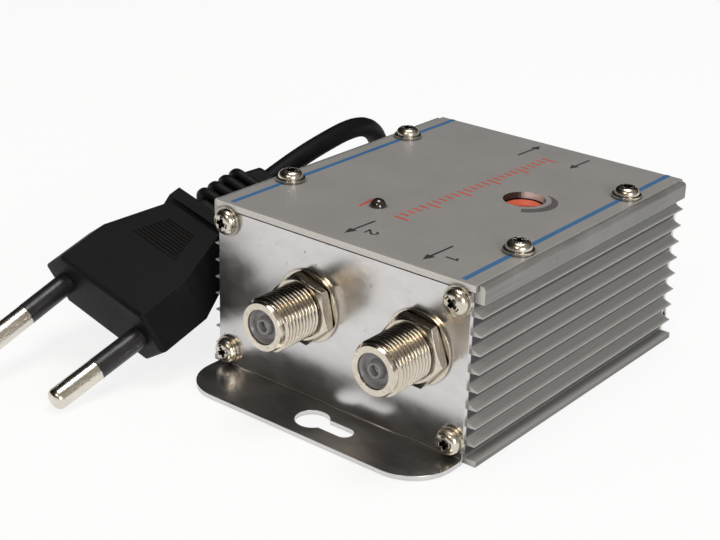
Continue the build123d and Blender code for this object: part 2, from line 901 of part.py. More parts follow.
with BuildPart() as rf_transistors:
    with BuildSketch(Plane.XY.offset(board_top_z)):
        with Locations(*transistor_places):
            Rectangle(2 * transistor_lead_half_span, transistor_lead_width)
            Rectangle(transistor_lead_width, 2 * transistor_lead_half_span)
    extrude(amount=transistor_lead_thickness)
    with BuildSketch(Plane.XY.offset(board_top_z)):
        with Locations(*transistor_places):
            Circle(transistor_radius)
    extrude(amount=transistor_height)
finish(rf_transistors.part, "rf_transistors")


# Ceramic disc capacitors, each on two leads
disc_places = [(-13.5, -26.5), (14.5, 15.0), (20.0, 23.0), (-20.0, -27.5)]
disc_radius = 2.5
disc_thickness = 1.6
disc_standoff = 1.2
disc_lead_half_spacing = 1.6

with BuildPart() as ceramic_capacitors:
    for x, y in disc_places:
        with BuildSketch(outward(x, y - disc_thickness / 2, board_top_z + disc_standoff + disc_radius, 1)):
            Circle(disc_radius)
        extrude(amount=disc_thickness)
        with BuildSketch(Plane.XY.offset(lead_end_z)):
            with Locations((x, y)):
                with GridLocations(2 * disc_lead_half_spacing, 0, 2, 1):
                    Circle(lead_radius)
        extrude(amount=board_top_z + disc_standoff + disc_radius - lead_end_z)
for x, y in disc_places:
    for lead_side in (-1, 1):
        lead_hole(x + lead_side * disc_lead_half_spacing, y)
finish(ceramic_capacitors.part, "ceramic_capacitors")


# Shield wall between the power part and the outputs
shield_thickness = 0.4
shield_y = -13.4
shield_left_x = -22.8
shield_right_x = 10.5
shield_height = 15.0

with BuildPart() as shield_wall:
    with BuildSketch(Plane.XY.offset(board_top_z)):
        with Locations((shield_left_x, shield_y)):
            Rectangle(
                shield_right_x - shield_left_x,
                shield_thickness,
                align=(Align.MIN, Align.CENTER),
            )
    extrude(amount=shield_height)
finish(shield_wall.part, "shield_wall")


# Strain relief of the cord in the rear plate, the cord's inner end and its two cores
cord_radius = 2.0
core_wire_radius = 0.9
core_wire_gap = 0.5
boot_flange_radius = 5.2
boot_flange_thickness = 1.4
boot_root_radius = 4.4
boot_tip_radius = 2.9
boot_reach = 12.0
boot_groove_first = 4.0
boot_groove_pitch = 2.6
boot_groove_width = 1.2
boot_groove_depth = 0.6
boot_groove_count = 3
boot_lip_radius = 4.6
boot_lip_thickness = 1.5
boot_inner_radius = 3.0
boot_inside = 8.0
jacket_inside = 8.0
core_wire_reach = 2.4
core_wire_bend = 1.4

boot_base = outward(cord_exit_x, plate_outer_y, cord_exit_z, 1)
boot_neck_radius = cord_hole_radius - seat_clearance
boot_bore_radius = cord_radius + seat_clearance
lip_start = -(plate_thickness + seat_clearance)


def boot_radius(reach):
    """Outside radius of the tapered boot, a given way out from the plate."""
    taper_share = (reach - boot_flange_thickness) / (boot_reach - boot_flange_thickness)
    return boot_root_radius + (boot_tip_radius - boot_root_radius) * taper_share


boot_grooves = []
for number in range(boot_groove_count):
    groove_start = boot_groove_first + number * boot_groove_pitch
    groove_end = groove_start + boot_groove_width
    boot_grooves += [
        (boot_radius(groove_start), groove_start),
        (boot_radius(groove_start) - boot_groove_depth, groove_start),
        (boot_radius(groove_end) - boot_groove_depth, groove_end),
        (boot_radius(groove_end), groove_end),
    ]

with BuildPart() as cord_strain_relief:
    with BuildSketch(axial(boot_base)):
        with BuildLine():
            Polyline(
                (boot_bore_radius, -boot_inside),
                (boot_inner_radius, -boot_inside),
                (boot_lip_radius, lip_start - boot_lip_thickness),
                (boot_lip_radius, lip_start),
                (boot_neck_radius, lip_start),
                (boot_neck_radius, 0),
                (boot_flange_radius, 0),
                (boot_flange_radius, boot_flange_thickness),
                (boot_root_radius, boot_flange_thickness),
                *boot_grooves,
                (boot_tip_radius, boot_reach),
                (boot_bore_radius, boot_reach),
                close=True,
            )
        make_face()
    revolve(axis=Axis(boot_base.origin, boot_base.z_dir))
finish(cord_strain_relief.part, "cord_strain_relief")

with BuildPart() as mains_cord_inner_end:
    with BuildSketch(boot_base.offset(-(plate_thickness + jacket_inside))):
        Circle(cord_radius)
    extrude(amount=plate_thickness + jacket_inside + boot_reach)
finish(mains_cord_inner_end.part, "mains_cord_inner_end")

jacket_end_y = plate_inner_y - jacket_inside
core_wire_offset = core_wire_radius + core_wire_gap / 2


def make_core_wire(core_side):
    """One insulated core from the jacket's end down through the board."""
    x = cord_exit_x + core_side * core_wire_offset
    bend_y = jacket_end_y - core_wire_reach
    lead_hole(x, bend_y, core_wire_radius)
    with BuildPart() as core_wire:
        with BuildLine() as wire:
            FilletPolyline(
                (x, jacket_end_y, cord_exit_z),
                (x, bend_y, cord_exit_z),
                (x, bend_y, lead_end_z),
                radius=core_wire_bend,
            )
        with BuildSketch(Plane(origin=wire.line @ 0, z_dir=wire.line % 0)):
            Circle(core_wire_radius)
        sweep(path=wire.line)
    return core_wire.part


with BuildPart() as mains_cores:
    for core_side in (-1, 1):
        add(make_core_wire(core_side))
finish(mains_cores.part, "mains_cores")


# Circuit board between the rails, with a hole for each lead
with BuildPart() as circuit_board:
    with BuildSketch(Plane.XY.offset(board_bottom_z)):
        Rectangle(2 * (inner_wall_x - slide_clearance), 2 * (plate_inner_y - slide_clearance))
        for x, y, radius in board_holes:
            with Locations((x, y)):
                Circle(radius, mode=Mode.SUBTRACT)
    extrude(amount=board_thickness)
finish(circuit_board.part, "circuit_board")


# Mains plug: flat two-pin body, lying tilted with its pins down
plug_origin = (-42.4, -46.3, 10.4)
plug_rotation = (20.45, 15.9, -3.76)
plug_half_width = 15.2
plug_flat_half_width = 10.2
plug_half_height = 6.15
plug_straight = 10.6
plug_neck = 23.8
neck_half_width = 9.8
neck_flat_half_width = 6.0
neck_half_height = 5.0
collar_half_width = 9.9
collar_flat_half_width = 6.9
collar_half_height = 6.0
collar_length = 2.5
plug_face_round = 0.8
grip_start = 13.2
grip_end = 20.4
grip_start_half_width = 5.2
grip_end_half_width = 3.2
grip_rib_count = 10
grip_rib_height = 0.35
grip_rib_share = 0.5

plug_location = Location(plug_origin, plug_rotation)
plug_plane = Plane(plug_location)
collar_end = plug_neck + collar_length


def plug_section(station):
    """A plane across the plug, a given way from the pin face toward the cord."""
    return Plane(
        origin=plug_plane.from_local_coords((0, station, 0)),
        x_dir=plug_plane.x_dir,
        z_dir=plug_plane.y_dir,
    )


def hexagon_points(half_width, flat_half_width, half_height):
    """Flat-topped hexagon, pointed at the sides."""
    return [
        (half_width, 0),
        (flat_half_width, half_height),
        (-flat_half_width, half_height),
        (-half_width, 0),
        (-flat_half_width, -half_height),
        (flat_half_width, -half_height),
    ]


# Pins: thin inside the body and the sleeve, full width where the metal shows
pin_radius = 2.0
pin_core_radius = 1.5
pin_length = 19.5
pin_sleeve_length = 10.0
pin_nose = 1.2
pin_half_spacing = 9.3
pin_tip_half_spacing = 8.75
pin_inside = 6.0

pin_lean = math.degrees(math.asin((pin_half_spacing - pin_tip_half_spacing) / pin_length))
pin_square = 90


def pin_base(pin_side):
    """The plane where a pin leaves the plug, its normal along the pin."""
    local = Location((pin_side * pin_half_spacing, 0, 0), (pin_square, -pin_side * pin_lean, 0))
    return Plane(plug_location * local)


with BuildPart() as plug_body:
    with BuildSketch(plug_section(0)):
        Polygon(
            *hexagon_points(plug_half_width, plug_flat_half_width, plug_half_height), align=None
        )
    extrude(amount=plug_straight)
    with BuildSketch(plug_section(plug_straight)):
        Polygon(
            *hexagon_points(plug_half_width, plug_flat_half_width, plug_half_height), align=None
        )
    with BuildSketch(plug_section(plug_neck)):
        Polygon(
            *hexagon_points(neck_half_width, neck_flat_half_width, neck_half_height), align=None
        )
    loft()
    fillet(plug_body.faces().sort_by(Axis(plug_origin, plug_plane.y_dir))[0].edges(), plug_face_round)
    with BuildSketch(plug_section(plug_neck)):
        Polygon(
            *hexagon_points(collar_half_width, collar_flat_half_width, collar_half_height),
            align=None,
        )
    extrude(amount=collar_length)
    grip_rib_pitch = (grip_end - grip_start) / grip_rib_count
    for rib in range(grip_rib_count):
        rib_start = grip_start + rib * grip_rib_pitch
        along_share = rib / (grip_rib_count - 1)
        rib_half_width = (
            grip_start_half_width + (grip_end_half_width - grip_start_half_width) * along_share
        )
        surface_share = (rib_start - plug_straight) / (plug_neck - plug_straight)
        surface_height = plug_half_height + (neck_half_height - plug_half_height) * surface_share
        rib_plane = plug_section(rib_start)
        with BuildSketch(rib_plane):
            with Locations((0, -surface_height), (0, surface_height)):
                Rectangle(2 * rib_half_width, 2 * grip_rib_height)
        extrude(amount=grip_rib_pitch * grip_rib_share)
    for pin_side in (-1, 1):
        with BuildSketch(pin_base(pin_side).offset(-pin_inside)):
            Circle(pin_core_radius + seat_clearance)
        extrude(amount=pin_inside + overrun, mode=Mode.SUBTRACT)
finish(plug_body.part, "plug_body")


def make_plug_pin(pin_side):
    """One round metal pin."""
    base = pin_base(pin_side)
    with BuildPart() as pin:
        with BuildSketch(axial(base)):
            with BuildLine():
                Polyline(
                    (0, pin_length),
                    (0, -pin_inside),
                    (pin_core_radius, -pin_inside),
                    (pin_core_radius, pin_sleeve_length),
                    (pin_radius, pin_sleeve_length),
                    (pin_radius, pin_length - pin_nose),
                )
                RadiusArc(
                    (pin_radius, pin_length - pin_nose),
                    (pin_radius - pin_nose, pin_length),
                    -pin_nose,
                )
                Line((pin_radius - pin_nose, pin_length), (0, pin_length))
            make_face()
        revolve(axis=Axis(base.origin, base.z_dir))
    return pin.part


def make_pin_sleeve(pin_side):
    """The insulating sleeve on the inner half of a pin."""
    with BuildPart() as sleeve:
        with BuildSketch(pin_base(pin_side).offset(sleeve_face_gap)):
            Circle(pin_radius)
            Circle(pin_core_radius + seat_clearance, mode=Mode.SUBTRACT)
        extrude(amount=pin_sleeve_length - sleeve_face_gap)
    return sleeve.part


sleeve_face_gap = pin_radius * math.tan(math.radians(pin_lean))

with BuildPart() as plug_pins:
    for pin_side in (-1, 1):
        add(make_plug_pin(pin_side))
finish(plug_pins.part, "plug_pins")

with BuildPart() as plug_pin_sleeves:
    for pin_side in (-1, 1):
        add(make_pin_sleeve(pin_side))
finish(plug_pin_sleeves.part, "plug_pin_sleeves")


# Strain relief: flat ribbed sleeve that tapers to the cord
relief_end = 42.5
relief_cone_start = 38.4
relief_root_half_width = 5.0
relief_root_half_height = 3.7
relief_neck_half_width = 4.1
relief_neck_half_height = 3.3
relief_end_radius = 2.7
relief_corner_share = 0.6
relief_rib_stations = [30.0, 32.6, 35.2, 37.8]
relief_rib_thickness = 1.9
relief_rib_half_width = 6.0
relief_rib_half_height = 4.9
relief_rib_narrowing = 0.25
relief_rib_round = 0.8


def relief_outline(half_width, half_height):
    """Width, height and corner radius of one flat section of the relief."""
    return 2 * half_width, 2 * half_height, half_height * relief_corner_share


def make_relief_rib(station, half_width, half_height):
    """One rib of the relief, with rounded rims."""
    with BuildPart() as rib:
        with BuildSketch(plug_section(station - relief_rib_thickness / 2)):
            RectangleRounded(*relief_outline(half_width, half_height))
        extrude(amount=relief_rib_thickness)
        rib_faces = rib.faces().sort_by(Axis(plug_origin, plug_plane.y_dir))
        fillet(rib_faces[0].edges() + rib_faces[-1].edges(), relief_rib_round)
    return rib.part


with BuildPart() as plug_strain_relief:
    with BuildSketch(plug_section(collar_end)):
        RectangleRounded(*relief_outline(relief_root_half_width, relief_root_half_height))
    with BuildSketch(plug_section(relief_cone_start)):
        RectangleRounded(*relief_outline(relief_neck_half_width, relief_neck_half_height))
    loft()
    with BuildSketch(plug_section(relief_cone_start)):
        RectangleRounded(*relief_outline(relief_neck_half_width, relief_neck_half_height))
    with BuildSketch(plug_section(relief_end)):
        RectangleRounded(*relief_outline(relief_end_radius, relief_end_radius))
    loft()
    for number, station in enumerate(relief_rib_stations):
        half_width = relief_rib_half_width - number * relief_rib_narrowing
        half_height = relief_rib_half_height - number * relief_rib_narrowing / 2
        add(make_relief_rib(station, half_width, half_height))
finish(plug_strain_relief.part, "plug_strain_relief")


# Cord coil behind the box: two layers of half-turn arcs, in on the upper layer and out on the lower
coil_x = -42.5
coil_y = 62.5
coil_outer_radius = 25.0
coil_turn_gap = 0.5
coil_half_turns_in = 6
coil_heading = 30
coil_floor_gap = 0.05
coil_end_run = 4.0
coil_approach = 6.0
quarter_turn = 90
half_turn = 180

coil_pitch = 2 * cord_radius + coil_turn_gap
coil_step = coil_pitch / 2
coil_lower_z = cord_radius + coil_floor_gap
coil_upper_z = coil_lower_z + coil_pitch


def compass(angle):
    """Unit vector in the horizontal plane."""
    return Vector(math.cos(math.radians(angle)), math.sin(math.radians(angle)), 0)


coil_centre = Vector(coil_x, coil_y, 0)
near_side = compass(coil_heading)
far_side = compass(coil_heading + half_turn)
along_in = compass(coil_heading + quarter_turn)
upper = Vector(0, 0, coil_upper_z)
lower = Vector(0, 0, coil_lower_z)
coil_entry = coil_centre + near_side * coil_outer_radius - along_in * coil_end_run + upper
coil_exit = coil_centre + far_side * coil_outer_radius - along_in * coil_end_run + lower

with BuildPart() as mains_cord_coil:
    with BuildLine() as coil_path:
        Line(coil_entry, coil_entry + along_in * coil_end_run)
        for number in range(coil_half_turns_in):
            shift = far_side * coil_step if number % 2 else Vector(0, 0, 0)
            CenterArc(
                coil_centre + shift + upper,
                coil_outer_radius - number * coil_step,
                coil_heading + number * half_turn,
                half_turn,
            )
        reverse_radius = coil_outer_radius - coil_half_turns_in * coil_step
        reverse_reach = math.hypot(reverse_radius, coil_pitch / 2)
        reverse_start = coil_centre + near_side * reverse_radius + upper
        reverse_end = coil_centre + far_side * reverse_radius + lower
        reverse_middle = coil_centre + along_in * reverse_reach + (upper + lower) / 2
        TangentArc(reverse_start, reverse_middle, tangent=along_in)
        TangentArc(reverse_middle, reverse_end, tangent=reverse_end - reverse_start)
        for number in range(coil_half_turns_in):
            shift = Vector(0, 0, 0) if number % 2 else near_side * coil_step
            CenterArc(
                coil_centre + shift + lower,
                reverse_radius + (number + 1) * coil_step,
                coil_heading + (number + 1) * half_turn,
                half_turn,
            )
        Line(coil_exit + along_in * coil_end_run, coil_exit)
    with BuildSketch(Plane(origin=coil_path.wire() @ 0, z_dir=coil_path.wire() % 0)):
        Circle(cord_radius)
    sweep(path=coil_path.wire())
finish(mains_cord_coil.part, "mains_cord_coil")


# Free stretches of the cord: from the boot to the coil, and from the plug over to the coil
run_share = 0.45
relief_tip = plug_plane.from_local_coords((0, relief_end, 0))
relief_lead = plug_plane.from_local_coords((0, relief_end + coil_end_run, 0))
cord_exit_point = Vector(cord_exit_x, plate_outer_y + boot_reach, cord_exit_z)

lead_route = [
    cord_exit_point,
    Vector(-9.0, 50.0, 12.6),
    Vector(-9.6, 55.0, 11.4),
    Vector(-11.4, 60.5, 8.6),
    coil_entry - along_in * coil_approach,
    coil_entry,
]
arch_route = [
    relief_tip,
    relief_lead,
    Vector(-39.3, 4.2, 27.6),
    Vector(-39.5, 10.8, 28.6),
    Vector(-39.8, 17.4, 29.3),
    Vector(-40.1, 23.0, 28.9),
    Vector(-40.5, 27.4, 26.6),
    Vector(-41.1, 30.4, 22.5),
    Vector(-42.8, 32.4, 17.5),
    Vector(-45.5, 32.7, 11.4),
    Vector(-50.0, 34.0, 6.6),
    Vector(-54.8, 36.9, 3.5),
    coil_exit - along_in * coil_approach,
    coil_exit,
]


def route_radii(route):
    """Radius at each corner: as large as its two runs allow."""
    radii = []
    for before, corner, after in zip(route, route[1:], route[2:]):
        run_in = corner - before
        run_out = after - corner
        turn = math.radians(run_in.get_angle(run_out))
        radii.append(run_share * min(run_in.length, run_out.length) / math.tan(turn / 2))
    return radii


def write_cord(route, name):
    """A round tube along a route of straight runs and tangent arcs."""
    radii = route_radii(route)
    with BuildPart() as cord:
        with BuildLine() as path:
            FilletPolyline(*route, radius=radii)
        with BuildSketch(Plane(origin=path.wire() @ 0, z_dir=path.wire() % 0)):
            Circle(cord_radius)
        sweep(path=path.wire())
    section = math.pi * cord_radius**2
    print(name, "radii", [round(radius, 1) for radius in radii])
    print(name, "length", round(path.wire().length, 1))
    print(name, "volume over section x length", round(cord.part.volume / section / path.wire().length, 4))
    finish(cord.part, name)


write_cord(lead_route, "mains_cord_lead")
write_cord(arch_route, "mains_cord_arch")


def least_self_gap(wire, samples):
    """Least gap of a coiled tube to itself, past the stretch that lies beside each point."""
    points = [wire @ (number / samples) for number in range(samples + 1)]
    spacing = wire.length / samples
    skip = int(math.pi * reverse_radius / spacing)
    nearest = wire.length
    for first in range(len(points)):
        for second in range(first + skip, len(points)):
            nearest = min(nearest, (points[first] - points[second]).length)
    return nearest - 2 * cord_radius


gap_samples = 700
coil_wire = coil_path.wire()
coil_section = math.pi * cord_radius**2
print("mains_cord_coil length", round(coil_wire.length, 1))
print(
    "mains_cord_coil volume over section x length",
    round(mains_cord_coil.part.volume / coil_section / coil_wire.length, 4),
)
print("mains_cord_coil least gap to itself", round(least_self_gap(coil_wire, gap_samples), 3))
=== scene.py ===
import math

import bmesh
import bpy
from mathutils import Matrix, Vector


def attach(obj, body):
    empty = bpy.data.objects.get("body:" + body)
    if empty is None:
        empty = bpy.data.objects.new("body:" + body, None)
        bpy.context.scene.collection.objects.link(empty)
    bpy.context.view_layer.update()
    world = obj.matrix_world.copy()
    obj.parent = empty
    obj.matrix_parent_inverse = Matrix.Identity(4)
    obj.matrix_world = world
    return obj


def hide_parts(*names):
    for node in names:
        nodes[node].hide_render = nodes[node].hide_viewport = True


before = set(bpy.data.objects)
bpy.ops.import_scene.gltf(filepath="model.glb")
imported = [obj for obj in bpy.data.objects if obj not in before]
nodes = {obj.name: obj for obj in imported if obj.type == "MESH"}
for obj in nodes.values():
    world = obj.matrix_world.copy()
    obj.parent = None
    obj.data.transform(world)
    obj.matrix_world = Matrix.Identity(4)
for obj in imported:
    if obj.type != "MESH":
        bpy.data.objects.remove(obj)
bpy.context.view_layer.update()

MM = 0.001


# Camera: in front of the box, to its right and above it, looking at the front left.
# Its place, direction and lens come from the corners of the box in the photograph.
camera_place = Vector((139.874, -203.521, 120.841)) * MM
camera_right = Vector((0.77586, 0.63026, 0.02848))
camera_down = Vector((0.26904, -0.28968, -0.91853))
camera_forward = Vector((-0.57067, 0.72032, -0.39432))

camera_data = bpy.data.cameras.new("camera")
camera_data.sensor_width = 36
camera_data.lens = 73.74
camera_data.clip_start = 0.01
camera_data.clip_end = 20
camera = bpy.data.objects.new("camera", camera_data)
camera.matrix_world = Matrix.Translation(camera_place) @ Matrix(
    (camera_right, -camera_down, -camera_forward)
).transposed().to_4x4()
bpy.context.scene.collection.objects.link(camera)
bpy.context.scene.camera = camera


# Mains cord: round black sheath over two cores, 4 mm thick, flexible and heavy enough to lie flat.
# It leaves the rear strain relief, lies in a neat two-layer coil behind the box,
# and comes back over a hump on the left into the plug's own strain relief.
def compass(degrees):
    """A level unit vector, a given angle from +X toward +Y."""
    return Vector((math.cos(math.radians(degrees)), math.sin(math.radians(degrees)), 0))


CORD_RADIUS = 2.0
CORD_REST_HEIGHT = 0.05
COIL_CENTRE = Vector((-42.5, 62.5, 0))
COIL_HEADING = 30
COIL_RADIUS = 25.0
COIL_INNER = 11.5
COIL_PITCH = 4.5
COIL_LOW = CORD_RADIUS + CORD_REST_HEIGHT
COIL_STEPS = 12
COIL_TURNS = 3
COIL_OFFSET = 4
COIL_STRAIGHT = 6
along_in = compass(COIL_HEADING + 90)
upper = Vector((0, 0, COIL_LOW + COIL_PITCH))
lower = Vector((0, 0, COIL_LOW))
coil_entry = COIL_CENTRE + compass(COIL_HEADING) * COIL_RADIUS - along_in * COIL_OFFSET + upper
coil_exit = COIL_CENTRE - compass(COIL_HEADING) * COIL_RADIUS - along_in * COIL_OFFSET + lower

lead_points = [
    Vector((-9.0, 45.0, 12.6)),
    Vector((-9.0, 50.0, 12.6)),
    Vector((-9.6, 55.0, 11.4)),
    Vector((-11.4, 60.5, 8.6)),
    coil_entry - along_in * COIL_STRAIGHT,
    coil_entry,
]

# The turns run inward on the upper layer, drop half a turn at the middle, and run out on the lower one.
coil_points = []
steps_in = COIL_TURNS * COIL_STEPS
steps_drop = COIL_STEPS // 2
spread = 1 / math.cos(math.pi / COIL_STEPS)
for step in range(2 * steps_in + steps_drop):
    gone = step + 0.5
    inward = COIL_RADIUS - COIL_PITCH * gone / COIL_STEPS
    outward = COIL_INNER + COIL_PITCH * (gone - steps_in - steps_drop) / COIL_STEPS
    radius = max(inward, COIL_INNER, outward)
    dropped = min(max((gone - steps_in) / steps_drop, 0), 1)
    height = COIL_LOW + COIL_PITCH * (1 - dropped * dropped * (3 - 2 * dropped))
    direction = compass(COIL_HEADING + 360 * gone / COIL_STEPS)
    coil_points.append(COIL_CENTRE + direction * radius * spread + Vector((0, 0, height)))

arch_points = [
    coil_exit,
    coil_exit - along_in * COIL_STRAIGHT,
    Vector((-54.8, 36.9, 3.5)),
    Vector((-50.0, 34.0, 6.6)),
    Vector((-45.5, 32.7, 11.4)),
    Vector((-42.8, 32.4, 17.5)),
    Vector((-41.1, 30.4, 22.5)),
    Vector((-40.5, 27.4, 26.6)),
    Vector((-40.1, 23.0, 28.9)),
    Vector((-39.8, 17.4, 29.3)),
    Vector((-39.5, 10.8, 28.6)),
    Vector((-39.3, 4.2, 27.6)),
    Vector((-39.47, -2.54, 25.8)),
    Vector((-39.72, -6.3, 24.51)),
]

cord_curve = bpy.data.curves.new("mains_cord", "CURVE")
cord_curve.dimensions = "3D"
cord_curve.bevel_depth = 1.0
cord_curve.bevel_resolution = 7
cord_curve.resolution_u = 8
cord_spline = cord_curve.splines.new("NURBS")
cord_points = lead_points + coil_points + arch_points
cord_spline.points.add(len(cord_points) - 1)
for point, place in zip(cord_spline.points, cord_points):
    point.co = (*(place * MM), 1)
    point.radius = CORD_RADIUS * MM
cord_spline.order_u = 3
cord_spline.use_endpoint_u = True
mains_cord = bpy.data.objects.new("mains_cord", cord_curve)
bpy.context.scene.collection.objects.link(mains_cord)


# Coil tie: a flat black plastic strip with a wire in it, as such cords are packed with.
# It is wrapped once round the coil's far side and twisted shut on top.
def add_mesh(name, vertices, faces, smooth=False):
    """A mesh object, its vertices in millimetres."""
    mesh = bpy.data.meshes.new(name)
    mesh.from_pydata([Vector(v) * MM for v in vertices], [], faces)
    if smooth:
        mesh.shade_smooth()
    piece = bpy.data.objects.new(name, mesh)
    bpy.context.scene.collection.objects.link(piece)
    return piece


TIE_ANGLE = 78
TIE_HALF_WIDTH = 1.6
TIE_THICKNESS = 0.35
TIE_SLACK = 1.4
TIE_CORNERS = 48
TIE_SQUARENESS = 6
TIE_MIDDLE_HEIGHT = 4.3
TIE_FLOOR_GAP = 0.02
TIE_BARE_BELOW = -0.5
tie_out = compass(TIE_ANGLE)
tie_across = compass(TIE_ANGLE + 90)
tie_middle = (COIL_INNER + COIL_RADIUS) / 2
tie_half_reach = (COIL_RADIUS - COIL_INNER) / 2 + TIE_SLACK
tie_half_height = COIL_PITCH / 2 + CORD_RADIUS + TIE_FLOOR_GAP
tie_ring = []
for corner in range(TIE_CORNERS):
    angle = 2 * math.pi * corner / TIE_CORNERS
    out, up = math.cos(angle), math.sin(angle)
    reach = (abs(out) ** TIE_SQUARENESS + abs(up) ** TIE_SQUARENESS) ** (-1 / TIE_SQUARENESS)
    tie_ring.append((out * reach, up * reach))
tie_vertices = []
for out, up in tie_ring:
    for side, skin in ((-1, 0), (1, 0), (1, 1), (-1, 1)):
        along = tie_middle + out * (tie_half_reach + skin * TIE_THICKNESS)
        padding = skin * TIE_THICKNESS * (up > TIE_BARE_BELOW)
        lift = TIE_MIDDLE_HEIGHT + up * (tie_half_height + padding)
        place = COIL_CENTRE + tie_out * along + tie_across * side * TIE_HALF_WIDTH
        tie_vertices.append((place.x, place.y, max(lift, TIE_FLOOR_GAP * (1 + skin))))
tie_faces = []
for corner in range(TIE_CORNERS):
    here, there = 4 * corner, 4 * ((corner + 1) % TIE_CORNERS)
    for edge in range(4):
        following = (edge + 1) % 4
        tie_faces.append((here + edge, there + edge, there + following, here + following))
coil_tie = add_mesh("coil_tie", tie_vertices, tie_faces, smooth=True)

# Its two ends are twisted round each other and lie along the top of the coil.
TWIST_STEPS = 40
TWIST_TURNS = 2.5
TWIST_LENGTH = 13
TWIST_HEIGHT = 9.6
TWIST_BOW = 0.5
TWIST_OFFSET = 0.3
TWIST_HALF_WIDTH = 0.9
TWIST_HALF_THICKNESS = 0.2
twist_section = [
    (-TWIST_HALF_WIDTH, -TWIST_HALF_THICKNESS),
    (TWIST_HALF_WIDTH, -TWIST_HALF_THICKNESS),
    (TWIST_HALF_WIDTH, TWIST_HALF_THICKNESS),
    (-TWIST_HALF_WIDTH, TWIST_HALF_THICKNESS),
]
twist_vertices = []
twist_faces = []
twist_start = COIL_CENTRE + tie_out * tie_middle + Vector((0, 0, TWIST_HEIGHT))
for strand in (0, 1):
    first = len(twist_vertices)
    for step in range(TWIST_STEPS + 1):
        share = step / TWIST_STEPS
        turn = 2 * math.pi * TWIST_TURNS * share + math.pi * strand
        bow = Vector((0, 0, TWIST_BOW * math.sin(math.pi * share)))
        middle = twist_start + tie_across * TWIST_LENGTH * share + bow
        side = tie_out * math.cos(turn) + Vector((0, 0, math.sin(turn)))
        flat = tie_across.cross(side)
        for across, thick in twist_section:
            place = middle + side * (TWIST_OFFSET + thick) + flat * across
            twist_vertices.append(tuple(place))
    for step in range(TWIST_STEPS):
        here, there = first + 4 * step, first + 4 * step + 4
        for edge in range(4):
            following = (edge + 1) % 4
            twist_faces.append((here + edge, here + following, there + following, there + edge))
    twist_faces.append(tuple(first + edge for edge in (3, 2, 1, 0)))
    twist_faces.append(tuple(first + 4 * TWIST_STEPS + edge for edge in range(4)))
coil_tie_ends = add_mesh("coil_tie_ends", twist_vertices, twist_faces)

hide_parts("mains_cord_lead", "mains_cord_coil", "mains_cord_arch")
for piece in (mains_cord, coil_tie, coil_tie_ends):
    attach(piece, "amplifier")


# Housing: one aluminium extrusion, silver-grey satin finish, sawn to length and bare at the cut ends.
# The die leaves faint lines along it. The fin tips get a painted highlight, their upper faces are
# painted lighter as if lit from above, and the grooves between them are painted dark as shade.
def new_node(tree, kind, settings=None, **sockets):
    """Adds a shader node. Settings are its options, sockets its values or links by socket name."""
    made = tree.nodes.new(kind)
    for option, value in (settings or {}).items():
        setattr(made, option, value)
    for name, value in sockets.items():
        socket = made.inputs[name.replace("_", " ")]
        if isinstance(value, bpy.types.NodeSocket):
            tree.links.new(value, socket)
        else:
            socket.default_value = value
    return made


def calculate(tree, operation, first, second=0.0):
    """A math node on two values or links."""
    made = tree.nodes.new("ShaderNodeMath")
    made.operation = operation
    for socket, value in zip(made.inputs, (first, second)):
        if isinstance(value, bpy.types.NodeSocket):
            tree.links.new(value, socket)
        else:
            socket.default_value = value
    return made.outputs[0]


def ramp(tree, factor, low, high, start=0.0, end=1.0):
    """Maps a factor from start..end to low..high, held at both ends."""
    made = new_node(tree, "ShaderNodeMapRange", {"clamp": True})
    tree.links.new(factor, made.inputs["Value"])
    made.inputs["From Min"].default_value = start
    made.inputs["From Max"].default_value = end
    made.inputs["To Min"].default_value = low
    made.inputs["To Max"].default_value = high
    return made.outputs["Result"]


def blend_colour(tree, factor, first, second):
    """A mix of two colours or links."""
    made = new_node(tree, "ShaderNodeMix", {"data_type": "RGBA"})
    for socket, value in ((made.inputs[0], factor), (made.inputs[6], first), (made.inputs[7], second)):
        if isinstance(value, bpy.types.NodeSocket):
            tree.links.new(value, socket)
        elif isinstance(value, tuple):
            socket.default_value = (*value, 1)
        else:
            socket.default_value = value
    return made.outputs[2]


def new_group(name, inputs, outputs):
    """An empty node group with typed sockets, and its two end nodes."""
    tree = bpy.data.node_groups.new(name, "ShaderNodeTree")
    for socket, kind in inputs:
        tree.interface.new_socket(socket, in_out="INPUT", socket_type=kind)
    for socket, kind in outputs:
        tree.interface.new_socket(socket, in_out="OUTPUT", socket_type=kind)
    return tree, tree.nodes.new("NodeGroupInput"), tree.nodes.new("NodeGroupOutput")


# Rounded edges: the normal that a small radius gives, and a mask of where the edges are.
# The mask carries a painted highlight along the edges.
EDGE_SPAN = (0.75, 0.995)
edge_group, edge_in, edge_out = new_group(
    "rounded_edges",
    [("Radius", "NodeSocketFloat")],
    [("Normal", "NodeSocketVector"), ("Edge", "NodeSocketFloat")],
)
edge_bevel = new_node(edge_group, "ShaderNodeBevel", {"samples": 6}, Radius=edge_in.outputs["Radius"])
edge_face = new_node(edge_group, "ShaderNodeNewGeometry")
edge_dot = new_node(edge_group, "ShaderNodeVectorMath", {"operation": "DOT_PRODUCT"})
edge_group.links.new(edge_bevel.outputs["Normal"], edge_dot.inputs[0])
edge_group.links.new(edge_face.outputs["Normal"], edge_dot.inputs[1])
edge_mask = ramp(edge_group, edge_dot.outputs["Value"], 1.0, 0.0, *EDGE_SPAN)
edge_group.links.new(edge_bevel.outputs["Normal"], edge_out.inputs["Normal"])
edge_group.links.new(edge_mask, edge_out.inputs["Edge"])
